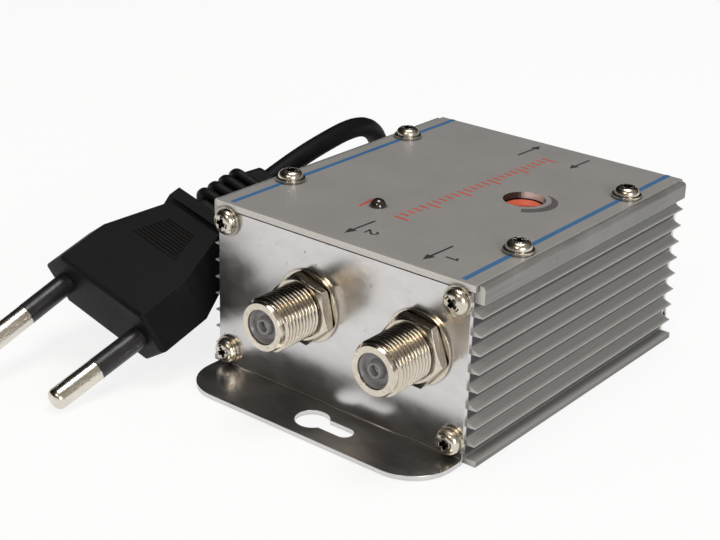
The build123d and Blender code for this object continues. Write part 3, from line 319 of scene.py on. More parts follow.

# Crevices: a mask of narrow places within a given reach, where light doesn't get.
# They are darkened there as painted shade, which also stands for dirt.
CREVICE_SPAN = (0.25, 0.9)
crevice_group, crevice_in, crevice_out = new_group(
    "crevices", [("Reach", "NodeSocketFloat")], [("Mask", "NodeSocketFloat")]
)
crevice_openness = new_node(
    crevice_group, "ShaderNodeAmbientOcclusion", {"samples": 8}, Distance=crevice_in.outputs["Reach"]
)
crevice_mask = ramp(crevice_group, crevice_openness.outputs["AO"], 1.0, 0.0, *CREVICE_SPAN)
crevice_group.links.new(crevice_mask, crevice_out.inputs["Mask"])

# Sawn ends: a mask of the faces that look straight forward or back.
END_SPAN = (0.7, 0.9)
end_group, _, end_out = new_group("sawn_ends", [], [("Mask", "NodeSocketFloat")])
end_face = new_node(end_group, "ShaderNodeNewGeometry")
end_parts = new_node(end_group, "ShaderNodeSeparateXYZ", Vector=end_face.outputs["True Normal"])
end_forward = calculate(end_group, "ABSOLUTE", end_parts.outputs["Y"])
end_group.links.new(ramp(end_group, end_forward, 0.0, 1.0, *END_SPAN), end_out.inputs["Mask"])

# Surface grain: fine grain, stretched as asked, broad clouds and rare small specks, scaled per metre.
CLOUD_SCALE = 95.0
SPECK_SCALE = 1500.0
SPECK_SPAN = (0.75, 0.775)
grain_group, grain_in, grain_out = new_group(
    "surface_grain",
    [("Stretch", "NodeSocketVector")],
    [("Fine", "NodeSocketFloat"), ("Cloud", "NodeSocketFloat"), ("Speck", "NodeSocketFloat")],
)
grain_place = new_node(grain_group, "ShaderNodeTexCoord").outputs["Object"]
grain_scaled = new_node(grain_group, "ShaderNodeVectorMath", {"operation": "MULTIPLY"})
grain_group.links.new(grain_place, grain_scaled.inputs[0])
grain_group.links.new(grain_in.outputs["Stretch"], grain_scaled.inputs[1])
grain_fine = new_node(
    grain_group, "ShaderNodeTexNoise", Vector=grain_scaled.outputs[0], Scale=1.0, Detail=5.0, Roughness=0.6
)
grain_cloud = new_node(
    grain_group, "ShaderNodeTexNoise", Vector=grain_place, Scale=CLOUD_SCALE, Detail=3.0, Roughness=0.55
)
grain_dots = new_node(grain_group, "ShaderNodeTexNoise", Vector=grain_place, Scale=SPECK_SCALE, Detail=1.0)
grain_group.links.new(grain_fine.outputs["Fac"], grain_out.inputs["Fine"])
grain_group.links.new(grain_cloud.outputs["Fac"], grain_out.inputs["Cloud"])
grain_speck = ramp(grain_group, grain_dots.outputs["Fac"], 0.0, 1.0, *SPECK_SPAN)
grain_group.links.new(grain_speck, grain_out.inputs["Speck"])


GRAIN_SPAN = (0.35, 0.65)
CLOUD_SHARE = 0.6
BORE_MARGIN = 0.02
# Fins: their upper faces are painted lighter as if lit, the grooves below the tips painted dark as shade.
FIN_LIT_SPAN = (0.22, 0.34)
FIN_GROOVE_SPAN = (0.30, 0.47)
FIN_GROOVE_SHARE = 0.9
FIN_TIP_SPAN = 0.965


def make_material(
    name,
    light,
    dark,
    metallic=0.0,
    gloss=(0.3, 0.45),
    stretch=(3000.0, 3000.0, 3000.0),
    relief=0.02,
    edge_radius=0.12,
    edge_highlight_colour=None,
    edge_highlight_share=0.0,
    speck_colour=None,
    speck_share=0.0,
    painted_shade_colour=(0.02, 0.018, 0.016),
    crevice_shade_share=0.0,
    crevice_shade_reach=0.6,
    end_colour=None,
    bore=None,
    fins=None,
    fin_lit_colour=None,
    coat=0.0,
    coat_gloss=0.1,
    specular=0.5,
):
    """A surface whose colour, roughness and relief vary with its grain, with soft edges and specks.

    Light and dark are the colours that the grain runs between, gloss the lowest and highest roughness.
    Bore is the middle and radius of a punched hole, in millimetres, whose wall is painted dark as shade.
    Edges get a painted highlight, and narrow places a painted shade that also stands for dirt.
    Fins are the height of the lowest tip, the pitch, the heights that the fins lie between and how far
    out the wall is, in millimetres. Fin lit colour is painted on their upper faces as if lit from above.
    """
    material = bpy.data.materials.new(name)
    material.use_nodes = True
    tree = material.node_tree
    shader = tree.nodes["Principled BSDF"]
    grain = new_node(tree, "ShaderNodeGroup", {"node_tree": grain_group}, Stretch=stretch)
    edges = new_node(tree, "ShaderNodeGroup", {"node_tree": edge_group}, Radius=edge_radius * MM)
    fine, cloud, speck = (grain.outputs[n] for n in ("Fine", "Cloud", "Speck"))
    mixed = calculate(tree, "MULTIPLY", calculate(tree, "ADD", fine, cloud), 0.5)
    colour = blend_colour(tree, ramp(tree, mixed, 0.0, 1.0, *GRAIN_SPAN), dark, light)
    # Painted highlight: the edges are lightened towards their highlight colour.
    if edge_highlight_colour:
        edge = calculate(tree, "MULTIPLY", edges.outputs["Edge"], edge_highlight_share)
        colour = blend_colour(tree, edge, colour, edge_highlight_colour)
    if speck_colour:
        colour = blend_colour(tree, calculate(tree, "MULTIPLY", speck, speck_share), colour, speck_colour)
    # Painted shade: the wall of the bore is coloured dark.
    if bore:
        place = new_node(tree, "ShaderNodeTexCoord").outputs["Object"]
        level = new_node(tree, "ShaderNodeVectorMath", {"operation": "MULTIPLY"})
        tree.links.new(place, level.inputs[0])
        level.inputs[1].default_value = (1, 1, 0)
        reach = new_node(tree, "ShaderNodeVectorMath", {"operation": "DISTANCE"})
        tree.links.new(level.outputs[0], reach.inputs[0])
        reach.inputs[1].default_value = (bore[0] * MM, bore[1] * MM, 0)
        inside = calculate(tree, "LESS_THAN", reach.outputs["Value"], (bore[2] + BORE_MARGIN) * MM)
        colour = blend_colour(tree, inside, colour, painted_shade_colour)
    # Painted light and shade on the fins: upper faces lighter as if lit from above, grooves darker.
    if fins:
        tip, pitch, low, high, wall = (length * MM for length in fins)
        point = new_node(tree, "ShaderNodeTexCoord").outputs["Object"]
        place = new_node(tree, "ShaderNodeSeparateXYZ", Vector=point)
        height = place.outputs["Z"]
        outside = calculate(tree, "GREATER_THAN", calculate(tree, "ABSOLUTE", place.outputs["X"]), wall)
        above = calculate(tree, "GREATER_THAN", height, low)
        below = calculate(tree, "LESS_THAN", height, high)
        finned = calculate(tree, "MULTIPLY", outside, calculate(tree, "MULTIPLY", above, below))
        steps_up = calculate(tree, "DIVIDE", calculate(tree, "SUBTRACT", height, tip), pitch)
        step = calculate(tree, "FRACT", steps_up)
        lit_faces = calculate(tree, "MULTIPLY", finned, ramp(tree, step, 1.0, 0.0, *FIN_LIT_SPAN))
        colour = blend_colour(tree, lit_faces, colour, fin_lit_colour)
        shade = ramp(tree, step, 0.0, FIN_GROOVE_SHARE, *FIN_GROOVE_SPAN)
        groove = calculate(tree, "MULTIPLY", shade, calculate(tree, "LESS_THAN", step, FIN_TIP_SPAN))
        colour = blend_colour(tree, calculate(tree, "MULTIPLY", finned, groove), colour, painted_shade_colour)
    if end_colour:
        ends = new_node(tree, "ShaderNodeGroup", {"node_tree": end_group})
        colour = blend_colour(tree, ends.outputs["Mask"], colour, end_colour)
    # Painted shade, also standing for dirt: narrow places are darkened.
    if crevice_shade_share:
        crevices = new_node(tree, "ShaderNodeGroup", {"node_tree": crevice_group}, Reach=crevice_shade_reach * MM)
        shade_and_dirt = calculate(tree, "MULTIPLY", crevices.outputs["Mask"], crevice_shade_share)
        colour = blend_colour(tree, shade_and_dirt, colour, painted_shade_colour)
    tree.links.new(colour, shader.inputs["Base Color"])
    rough_cloud = calculate(tree, "MULTIPLY", cloud, CLOUD_SHARE)
    rough_fine = calculate(tree, "MULTIPLY", fine, 1 - CLOUD_SHARE)
    rough = calculate(tree, "ADD", rough_cloud, rough_fine)
    tree.links.new(ramp(tree, rough, *gloss, *GRAIN_SPAN), shader.inputs["Roughness"])
    bump = new_node(tree, "ShaderNodeBump", Strength=1.0, Distance=relief * MM)
    tree.links.new(fine, bump.inputs["Height"])
    tree.links.new(edges.outputs["Normal"], bump.inputs["Normal"])
    tree.links.new(bump.outputs["Normal"], shader.inputs["Normal"])
    shader.inputs["Metallic"].default_value = metallic
    shader.inputs["Specular IOR Level"].default_value = specular
    shader.inputs["Coat Weight"].default_value = coat
    shader.inputs["Coat Roughness"].default_value = coat_gloss
    return material


def finish_nodes(material, *names):
    """Gives a material to CAD nodes."""
    for name in names:
        for slot in nodes[name].material_slots:
            slot.material = material


LOWEST_FIN = 3.6
FIN_PITCH = 3.2
FINS_FROM = 0.98
FINS_TO = 28.19
FINS_OUTSIDE = 26.58
housing_finish = make_material(
    "housing_aluminium",
    light=(0.26, 0.256, 0.245),
    dark=(0.16, 0.157, 0.151),
    metallic=0.3,
    gloss=(0.40, 0.54),
    stretch=(2600.0, 60.0, 2600.0),
    relief=0.006,
    edge_radius=0.14,
    edge_highlight_colour=(0.92, 0.91, 0.89),
    edge_highlight_share=1.0,
    speck_colour=(0.05, 0.05, 0.05),
    speck_share=0.6,
    painted_shade_colour=(0.030, 0.028, 0.034),
    crevice_shade_share=0.8,
    crevice_shade_reach=1.6,
    end_colour=(0.56, 0.55, 0.54),
    fins=(LOWEST_FIN, FIN_PITCH, FINS_FROM, FINS_TO, FINS_OUTSIDE),
    fin_lit_colour=(0.47, 0.465, 0.445),
)
finish_nodes(housing_finish, "housing")


# Top cover: steel sheet with a smooth grey enamel, slid in between the two beads.
# The enamel has the faint ripple of sprayed paint, and the cut edges are bright bare metal.
# Its rims get a painted highlight, and the gain hole's wall and the narrow places painted shade.
GAIN_CENTRE = (11.75, 3.8)
GAIN_HOLE_RADIUS = 3.75
cover_finish = make_material(
    "cover_paint",
    light=(0.285, 0.276, 0.266),
    dark=(0.255, 0.247, 0.238),
    gloss=(0.34, 0.42),
    stretch=(1400.0, 1400.0, 1400.0),
    relief=0.004,
    edge_radius=0.15,
    edge_highlight_colour=(0.62, 0.61, 0.6),
    edge_highlight_share=0.7,
    speck_colour=(0.12, 0.12, 0.12),
    speck_share=0.35,
    crevice_shade_share=0.85,
    crevice_shade_reach=0.9,
    end_colour=(0.62, 0.60, 0.58),
    bore=(*GAIN_CENTRE, GAIN_HOLE_RADIUS),
)
finish_nodes(cover_finish, "top_cover")


# Prints on the cover: one thin layer of screen ink each, lying on the enamel.
# Blue lines run along its sides, arrows stand near its ends, and a wedge curves round the gain hole.
PRINT_BOTTOM = 31.4
PRINT_THICKNESS = 0.02


def add_print(name, outlines, material):
    """A flat print from outlines of (x, y) points, in millimetres."""
    built = bmesh.new()
    for outline in outlines:
        low = [built.verts.new(Vector((x, y, PRINT_BOTTOM)) * MM) for x, y in outline]
        high = [built.verts.new(Vector((x, y, PRINT_BOTTOM + PRINT_THICKNESS)) * MM) for x, y in outline]
        built.faces.new(high)
        built.faces.new(low[::-1])
        for number in range(len(outline)):
            following = (number + 1) % len(outline)
            built.faces.new((low[number], low[following], high[following], high[number]))
    bmesh.ops.recalc_face_normals(built, faces=built.faces)
    mesh = bpy.data.meshes.new(name)
    built.to_mesh(mesh)
    built.free()
    mesh.materials.append(material)
    piece = bpy.data.objects.new(name, mesh)
    bpy.context.scene.collection.objects.link(piece)
    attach(piece, "amplifier")
    return piece


def bar(start, end, width):
    """The outline of a straight stroke."""
    start, end = Vector(start), Vector(end)
    side = (end - start).normalized().orthogonal() * width / 2
    return [tuple(start + side), tuple(end + side), tuple(end - side), tuple(start - side)]


ARROW_WIDTH = 0.42
ARROW_HEAD_WIDTH = 1.7


def arrow(tip, tail, head_length):
    """The outlines of an arrow: a shaft and a head."""
    tip, tail = Vector(tip), Vector(tail)
    along = (tip - tail).normalized()
    across = along.orthogonal()
    neck = tip - along * head_length
    half_head = across * ARROW_HEAD_WIDTH / 2
    return [bar(tail, neck, ARROW_WIDTH), [tuple(tip), tuple(neck + half_head), tuple(neck - half_head)]]


def ring_part(centre, first, last, inner, outer, steps=40):
    """The outline of part of a ring whose width may change along it."""
    outside, inside = [], []
    for step in range(steps + 1):
        share = step / steps
        direction = compass(first + (last - first) * share)
        reach_in = inner[0] + (inner[1] - inner[0]) * share**3
        reach_out = outer[0] + (outer[1] - outer[0]) * share**3
        outside.append((centre[0] + direction.x * reach_out, centre[1] + direction.y * reach_out))
        inside.append((centre[0] + direction.x * reach_in, centre[1] + direction.y * reach_in))
    return outside + inside[::-1]


ink_blue = make_material(
    "ink_blue", (0.05, 0.155, 0.33), (0.04, 0.125, 0.28), gloss=(0.35, 0.45), relief=0.003, edge_radius=0.02
)
ink_black = make_material(
    "ink_black", (0.05, 0.05, 0.055), (0.03, 0.03, 0.034), gloss=(0.35, 0.5), relief=0.003, edge_radius=0.02
)
ink_grey = make_material(
    "ink_grey", (0.12, 0.115, 0.115), (0.095, 0.09, 0.09), gloss=(0.35, 0.5), relief=0.003, edge_radius=0.02
)
ink_red = make_material(
    "ink_red", (0.60, 0.10, 0.06), (0.50, 0.08, 0.05), gloss=(0.35, 0.45), relief=0.003, edge_radius=0.02
)

add_print(
    "print_side_lines",
    [bar((x, -32.1), (x, 32.9), 0.95) for x in (-24.3, 24.3)],
    ink_blue,
)
add_print(
    "print_arrows",
    arrow((15.0, -30.2), (15.3, -22.4), 2.2)
    + arrow((-1.15, -29.9), (-0.75, -22.3), 2.2)
    + arrow((8.9, 23.4), (9.2, 30.0), 2.0)
    + arrow((-2.1, 30.6), (-2.4, 23.25), 2.0),
    ink_black,
)
add_print(
    "print_gain_wedge",
    [ring_part(GAIN_CENTRE, -62, 64, (4.8, 4.75), (6.5, 4.8))],
    ink_grey,
)


# Output numbers: plain 1 and 2, turned to be read from the left.
def turned(outlines, centre):
    """Outlines round (0, 0), given a quarter turn to the right and moved to a centre."""
    return [[(centre[0] + y, centre[1] - x) for x, y in outline] for outline in outlines]


one = [bar((0.1, -1.15), (0.1, 1.15), 0.42), bar((-0.6, 0.62), (0.1, 1.05), 0.36)]
two = [
    bar((-0.8, -1.0), (0.85, -1.0), 0.38),
    bar((-0.65, -1.0), (0.58, 0.22), 0.38),
    ring_part((0, 0.45), -35, 185, (0.4, 0.4), (0.77, 0.77), 20),
]
add_print(
    "print_output_numbers", turned(one, (18.2, -26.7)) + turned(two, (2.1, -26.7)), ink_black
)

# Level scale: plain red strokes along the middle of the cover, every fifth one longer.
SCALE_COUNT = 26
SCALE_SIDE = 1.5
SCALE_WIDTH = 0.5
SCALE_LONG = 3.2
SCALE_SHORT = 1.9
SCALE_LONG_EVERY = 5
scale_start, scale_end = Vector((1.5, -18.3)), Vector((3.6, 24.6))
scale_across = (scale_end - scale_start).normalized().orthogonal()
scale_strokes = []
for number in range(SCALE_COUNT):
    foot = scale_start.lerp(scale_end, number / (SCALE_COUNT - 1)) + scale_across * SCALE_SIDE
    reach = SCALE_SHORT if number % SCALE_LONG_EVERY else SCALE_LONG
    scale_strokes.append(bar(foot, foot - scale_across * reach, SCALE_WIDTH))
add_print("print_level_scale", scale_strokes, ink_red)
add_print("print_lamp_mark", [bar((-7.2, -18.6), (-7.55, -14.0), 0.55)], ink_red)


# Screws: nickel-plated steel, domed heads with a rolled flange and a punched cross.
# Four hold the cover, and four hold each end plate to the grooves of the housing.
# The rims get a painted highlight, and the cross and the seams round the heads painted shade.
screw_finish = make_material(
    "screw_nickel",
    light=(0.74, 0.69, 0.60),
    dark=(0.58, 0.53, 0.44),
    metallic=1.0,
    gloss=(0.20, 0.32),
    stretch=(1800.0, 1800.0, 1800.0),
    relief=0.004,
    edge_radius=0.10,
    edge_highlight_colour=(0.92, 0.88, 0.80),
    edge_highlight_share=0.4,
    speck_colour=(0.10, 0.07, 0.04),
    speck_share=0.7,
    crevice_shade_share=1.0,
    crevice_shade_reach=1.1,
)
finish_nodes(screw_finish, "cover_screws", "front_plate_screws", "rear_plate_screws")


# End plates: bright nickel-plated sheet, bent out at the foot and fixed with four screws each.
# The plating mirrors softly, with wipe marks and pin-prick specks.
# Its cut edges get a thin painted highlight, and the narrow places a faint painted shade.
plate_finish = make_material(
    "plate_nickel",
    light=(0.71, 0.695, 0.69),
    dark=(0.60, 0.585, 0.58),
    metallic=0.96,
    gloss=(0.17, 0.27),
    stretch=(260.0, 900.0, 420.0),
    relief=0.0022,
    edge_radius=0.15,
    edge_highlight_colour=(0.90, 0.88, 0.86),
    edge_highlight_share=0.35,
    speck_colour=(0.25, 0.23, 0.21),
    speck_share=0.8,
    crevice_shade_share=0.5,
    crevice_shade_reach=0.5,
)
finish_nodes(plate_finish, "front_end_plate", "rear_end_plate")


# Coaxial connectors: turned brass under nickel, each clamped by a washer and a hexagon nut.
# The thread catches the light in warm stripes; its roots and seams get a brown painted shade,
# and the edges a painted highlight. The insulator is milky plastic round a spring contact,
# with a painted highlight on its rims.
connector_finish = make_material(
    "connector_nickel",
    light=(0.74, 0.68, 0.58),
    dark=(0.56, 0.50, 0.41),
    metallic=1.0,
    gloss=(0.13, 0.24),
    stretch=(1500.0, 2400.0, 1500.0),
    relief=0.005,
    edge_radius=0.10,
    edge_highlight_colour=(0.92, 0.88, 0.80),
    edge_highlight_share=0.5,
    speck_colour=(0.12, 0.09, 0.05),
    speck_share=0.5,
    painted_shade_colour=(0.05, 0.035, 0.02),
    crevice_shade_share=0.8,
    crevice_shade_reach=0.5,
)
insulator_finish = make_material(
    "insulator_plastic",
    light=(0.22, 0.215, 0.22),
    dark=(0.17, 0.165, 0.17),
    gloss=(0.22, 0.34),
    relief=0.004,
    edge_radius=0.15,
    edge_highlight_colour=(0.40, 0.39, 0.39),
    edge_highlight_share=0.7,
    coat=0.4,
    coat_gloss=0.15,
)
# The contact is painted almost white and barely metallic, a painted highlight for the glint in its hole.
contact_finish = make_material(
    "contact_brass",
    light=(0.95, 0.93, 0.88),
    dark=(0.85, 0.82, 0.76),
    metallic=0.15,
    gloss=(0.3, 0.45),
    relief=0.004,
    edge_radius=0.05,
)
for connector in ("output_1", "output_2", "input"):
    finish_nodes(
        connector_finish, f"{connector}_connector_body", f"{connector}_washer", f"{connector}_nut"
    )
    finish_nodes(insulator_finish, f"{connector}_insulator")
    finish_nodes(contact_finish, f"{connector}_contact")


# Power lamp: a 3 mm lamp with a smoke-dark lens of cast resin, soldered to the board by two leads.
# It stands a little proud of the cover.
lamp_finish = make_material(
    "led_lens",
    light=(0.030, 0.022, 0.018),
    dark=(0.018, 0.013, 0.010),
    gloss=(0.06, 0.12),
    relief=0.001,
    edge_radius=0.05,
    coat=1.0,
    coat_gloss=0.03,
)
finish_nodes(lamp_finish, "power_led")


# Gain control: a small open trimmer on the board, with a plastic body and rotor.
# Its red-orange rotor has a slot for a screwdriver and shows through the hole in the cover.
# The rotor's edges get a painted highlight.
rotor_finish = make_material(
    "rotor_plastic",
    light=(0.72, 0.13, 0.06),
    dark=(0.58, 0.095, 0.045),
    gloss=(0.35, 0.5),
    relief=0.006,
    edge_radius=0.12,
    edge_highlight_colour=(0.82, 0.30, 0.20),
    edge_highlight_share=0.5,
)
trimmer_finish = make_material(
    "trimmer_plastic", (0.03, 0.07, 0.25), (0.02, 0.05, 0.18), gloss=(0.4, 0.55), relief=0.005
)
finish_nodes(rotor_finish, "gain_rotor")
finish_nodes(trimmer_finish, "gain_trimmer_body")


# Plug: two-pin flat plug in one black moulding with a spark-eroded texture, grip ribs and a collar.
# Behind it the strain relief is softer and smoother. The pins are nickel-plated, sleeved at the root.
# The edges of the plug, its strain relief and its pins get a painted highlight, and the grooves of the
# strain relief and of the coil tie, which shares its finish, painted shade.
plug_finish = make_material(
    "plug_plastic",
    light=(0.009, 0.0085, 0.009),
    dark=(0.0035, 0.0035, 0.004),
    gloss=(0.45, 0.62),
    specular=0.12,
    stretch=(4200.0, 4200.0, 4200.0),
    relief=0.035,
    edge_radius=0.35,
    edge_highlight_colour=(0.035, 0.033, 0.033),
    edge_highlight_share=0.6,
)
sheath_finish = make_material(
    "cord_pvc",
    light=(0.008, 0.0078, 0.008),
    dark=(0.004, 0.0039, 0.004),
    gloss=(0.46, 0.58),
    specular=0.14,
    stretch=(700.0, 700.0, 700.0),
    relief=0.012,
    edge_radius=0.2,
)
relief_finish = make_material(
    "relief_pvc",
    light=(0.010, 0.010, 0.0105),
    dark=(0.006, 0.006, 0.0065),
    gloss=(0.36, 0.50),
    specular=0.18,
    stretch=(1600.0, 1600.0, 1600.0),
    relief=0.012,
    edge_radius=0.3,
    edge_highlight_colour=(0.03, 0.03, 0.03),
    edge_highlight_share=0.5,
    painted_shade_colour=(0.002, 0.002, 0.002),
    crevice_shade_share=0.9,
    crevice_shade_reach=1.2,
)
sleeve_finish = make_material(
    "sleeve_plastic",
    light=(0.020, 0.018, 0.020),
    dark=(0.010, 0.009, 0.010),
    gloss=(0.24, 0.40),
    stretch=(1400.0, 1400.0, 1400.0),
    relief=0.02,
    edge_radius=0.15,
)
pin_finish = make_material(
    "pin_nickel",
    light=(0.84, 0.80, 0.72),
    dark=(0.60, 0.55, 0.47),
    metallic=1.0,
    gloss=(0.16, 0.30),
    stretch=(2600.0, 120.0, 2600.0),
    relief=0.003,
    edge_radius=0.2,
    edge_highlight_colour=(0.92, 0.90, 0.85),
    edge_highlight_share=0.4,
    speck_colour=(0.15, 0.12, 0.08),
    speck_share=0.6,
)
finish_nodes(plug_finish, "plug_body")
finish_nodes(relief_finish, "plug_strain_relief")
finish_nodes(sleeve_finish, "plug_pin_sleeves")
finish_nodes(pin_finish, "plug_pins")
cord_curve.materials.append(sheath_finish)
coil_tie.data.materials.append(relief_finish)
coil_tie_ends.data.materials.append(relief_finish)


# Rear strain relief: a tapered, grooved boot, moulded of soft black rubber.
# It is pushed through the rear plate and grips the cord, whose inner end runs on to the board.
# Its edges get a painted highlight.
boot_finish = make_material(
    "black_rubber",
    light=(0.012, 0.012, 0.0125),
    dark=(0.007, 0.007, 0.0075),
    gloss=(0.42, 0.56),
    specular=0.28,
    stretch=(1800.0, 1800.0, 1800.0),
    relief=0.02,
    edge_radius=0.25,
    edge_highlight_colour=(0.04, 0.04, 0.04),
    edge_highlight_share=0.5,
)
finish_nodes(boot_finish, "cord_strain_relief")
finish_nodes(sheath_finish, "mains_cord_inner_end")


# Inside: a paper-laminate board between the rails, with the transformer, the supply parts
# and the splitter soldered to it, a tin-plated shield wall across it, and a sheet below that keeps
# the solder side off the housing floor.
board_finish = make_material(
    "board_laminate", (0.46, 0.33, 0.14), (0.33, 0.22, 0.08), gloss=(0.4, 0.55), relief=0.01
)
sheet_finish = make_material(
    "insulating_sheet", (0.72, 0.69, 0.52), (0.60, 0.57, 0.42), gloss=(0.5, 0.7), relief=0.02
)
wire_finish = make_material(
    "tinned_wire", (0.72, 0.72, 0.70), (0.50, 0.50, 0.48), metallic=1.0, gloss=(0.2, 0.35), edge_radius=0.05
)
core_finish = make_material(
    "core_steel",
    light=(0.20, 0.20, 0.21),
    dark=(0.09, 0.09, 0.10),
    metallic=0.8,
    gloss=(0.35, 0.55),
    stretch=(200.0, 5200.0, 200.0),
    relief=0.04,
)
bobbin_finish = make_material(
    "bobbin_nylon", (0.72, 0.72, 0.66), (0.60, 0.60, 0.54), gloss=(0.35, 0.5), relief=0.008
)
copper_finish = make_material(
    "winding_copper",
    light=(0.62, 0.26, 0.10),
    dark=(0.34, 0.12, 0.04),
    metallic=0.9,
    gloss=(0.22, 0.36),
    stretch=(150.0, 150.0, 5200.0),
    relief=0.05,
)
can_finish = make_material(
    "capacitor_sleeve", (0.03, 0.04, 0.13), (0.02, 0.027, 0.09), gloss=(0.15, 0.28), relief=0.004
)
epoxy_finish = make_material(
    "component_black", (0.035, 0.035, 0.035), (0.02, 0.02, 0.02), gloss=(0.4, 0.6), relief=0.012
)
lacquer_finish = make_material(
    "resistor_beige", (0.66, 0.50, 0.32), (0.52, 0.38, 0.22), gloss=(0.25, 0.4), relief=0.006
)
ferrite_finish = make_material(
    "ferrite", (0.10, 0.10, 0.10), (0.05, 0.05, 0.05), gloss=(0.5, 0.7), relief=0.02
)
disc_finish = make_material(
    "ceramic_orange", (0.62, 0.28, 0.07), (0.48, 0.20, 0.04), gloss=(0.2, 0.34), relief=0.01
)
tin_finish = make_material(
    "tin_plate", (0.70, 0.70, 0.69), (0.52, 0.52, 0.51), metallic=1.0, gloss=(0.22, 0.4), relief=0.004
)
core_wire_finish = make_material(
    "core_insulation", (0.20, 0.09, 0.04), (0.13, 0.06, 0.03), gloss=(0.3, 0.45), relief=0.006
)
finish_nodes(board_finish, "circuit_board")
finish_nodes(sheet_finish, "insulating_sheet")
finish_nodes(wire_finish, "led_leads", "transformer_pins")
finish_nodes(core_finish, "transformer_core")
finish_nodes(bobbin_finish, "transformer_bobbin")
finish_nodes(copper_finish, "transformer_winding", "splitter_links")
finish_nodes(can_finish, "smoothing_capacitor")
finish_nodes(epoxy_finish, "rectifier_diodes", "voltage_regulator", "rf_transistors")
finish_nodes(lacquer_finish, "resistors")
finish_nodes(ferrite_finish, "splitter_core")
finish_nodes(disc_finish, "ceramic_capacitors")
finish_nodes(tin_finish, "shield_wall")
finish_nodes(core_wire_finish, "mains_cores")


# Studio: a pale table under a soft top lamp, a weaker one at the right and a small warm one in front.
# Dark screens stand round the table, out of the camera's sight, and the metal mirrors them.
FLOOR_REACH = 4000
FLOOR_HEIGHT = -0.15
FLOOR_GLOW = 0.82
floor_corners = [(-1, -1), (1, -1), (1, 1), (-1, 1)]
floor = add_mesh(
    "floor",
    [(x * FLOOR_REACH, y * FLOOR_REACH, FLOOR_HEIGHT) for x, y in floor_corners],
    [(0, 1, 2, 3)],
)


def seen_directly(tree):
    """1 for rays that come from the camera, a mirror or glass."""
    path = new_node(tree, "ShaderNodeLightPath")
    mirrored = calculate(tree, "MAXIMUM", path.outputs["Is Camera Ray"], path.outputs["Is Glossy Ray"])
    return calculate(tree, "MAXIMUM", mirrored, path.outputs["Is Transmission Ray"])


floor_material = bpy.data.materials.new("floor_white")
floor_material.use_nodes = True
floor_tree = floor_material.node_tree
floor_shader = floor_tree.nodes["Principled BSDF"]
floor_shader.inputs["Base Color"].default_value = (0.90, 0.90, 0.90, 1)
floor_shader.inputs["Roughness"].default_value = 0.8
floor_shader.inputs["Specular IOR Level"].default_value = 0.1
floor_glow = new_node(floor_tree, "ShaderNodeEmission", Strength=1.0)
floor_mix = new_node(floor_tree, "ShaderNodeMixShader")
floor_seen = calculate(floor_tree, "MULTIPLY", seen_directly(floor_tree), FLOOR_GLOW)
floor_tree.links.new(floor_seen, floor_mix.inputs[0])
floor_tree.links.new(floor_shader.outputs[0], floor_mix.inputs[1])
floor_tree.links.new(floor_glow.outputs[0], floor_mix.inputs[2])
floor_tree.links.new(floor_mix.outputs[0], floor_tree.nodes["Material Output"].inputs["Surface"])
floor.data.materials.append(floor_material)

SCREEN_SIDES = 48
SCREEN_LEVELS = [(1500, 60), (1500, 700), (1150, 1250), (600, 1600), (20, 1700)]
screen_vertices = []
screen_faces = []
for level, (reach, height) in enumerate(SCREEN_LEVELS):
    for side in range(SCREEN_SIDES):
        place = compass(360 * side / SCREEN_SIDES) * reach
        screen_vertices.append((place.x, place.y, height))
        if level:
            here = level * SCREEN_SIDES + side
            following = level * SCREEN_SIDES + (side + 1) % SCREEN_SIDES
            screen_faces.append((here, following, following - SCREEN_SIDES, here - SCREEN_SIDES))
screens = add_mesh("screens", screen_vertices, screen_faces)
screen_material = bpy.data.materials.new("screen_cloth")
screen_material.use_nodes = True
screen_tree = screen_material.node_tree
screen_place = new_node(screen_tree, "ShaderNodeTexCoord").outputs["Object"]
SCREEN_BRIGHT_SIDE = (0.95, -0.2, 0.3)
SCREEN_DARKEST = 0.006
SCREEN_BRIGHTEST = 0.28
SCREEN_SPAN = (0.1, 1.5)
screen_side = new_node(screen_tree, "ShaderNodeVectorMath", {"operation": "DOT_PRODUCT"})
screen_tree.links.new(screen_place, screen_side.inputs[0])
screen_side.inputs[1].default_value = SCREEN_BRIGHT_SIDE
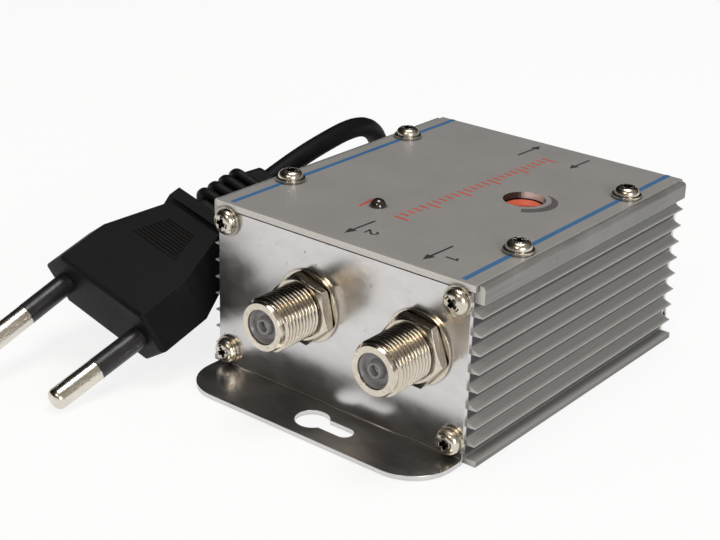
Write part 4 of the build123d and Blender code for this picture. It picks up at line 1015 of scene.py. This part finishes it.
screen_strength = ramp(
    screen_tree, screen_side.outputs["Value"], SCREEN_DARKEST, SCREEN_BRIGHTEST, *SCREEN_SPAN
)
screen_cloth = new_node(
    screen_tree, "ShaderNodeEmission", Color=(1.0, 0.92, 0.80, 1), Strength=screen_strength
)
screen_tree.links.new(screen_cloth.outputs[0], screen_tree.nodes["Material Output"].inputs["Surface"])
screens.data.materials.append(screen_material)
screens.visible_camera = False
screens.visible_diffuse = False
screens.visible_shadow = False
screens.visible_transmission = False


BOX_MIDDLE = Vector((-0.005, 0, 0.015))


def add_lamp(name, place, size, power, colour=(1, 1, 1)):
    """A square soft lamp that points at the box."""
    data = bpy.data.lights.new(name, "AREA")
    data.shape = "SQUARE"
    data.size = size
    data.energy = power
    data.color = colour
    lamp = bpy.data.objects.new(name, data)
    lamp.location = place
    aim = BOX_MIDDLE - Vector(place)
    lamp.rotation_euler = aim.to_track_quat("-Z", "Y").to_euler()
    bpy.context.scene.collection.objects.link(lamp)


add_lamp("high_lamp", (0.17, -0.72, 0.67), size=0.16, power=1.6, colour=(1.0, 0.84, 0.62))
add_lamp("top_lamp", (0.05, 0.10, 1.05), size=0.45, power=5.0)
add_lamp("right_lamp", (0.88, -0.42, 0.36), size=0.35, power=4.0)

world = bpy.data.worlds.new("studio")
bpy.context.scene.world = world
world.use_nodes = True
world_tree = world.node_tree
world_room = world_tree.nodes["Background"]
world_room.inputs["Color"].default_value = (1, 1, 1, 1)
world_room.inputs["Strength"].default_value = 0.35
world_white = new_node(world_tree, "ShaderNodeBackground", Color=(1, 1, 1, 1), Strength=1.0)
world_mix = new_node(world_tree, "ShaderNodeMixShader")
world_tree.links.new(seen_directly(world_tree), world_mix.inputs[0])
world_tree.links.new(world_room.outputs[0], world_mix.inputs[1])
world_tree.links.new(world_white.outputs[0], world_mix.inputs[2])
world_tree.links.new(world_mix.outputs[0], world_tree.nodes["World Output"].inputs["Surface"])

bpy.context.scene.view_settings.view_transform = "Standard"

bpy.context.view_layer.update()
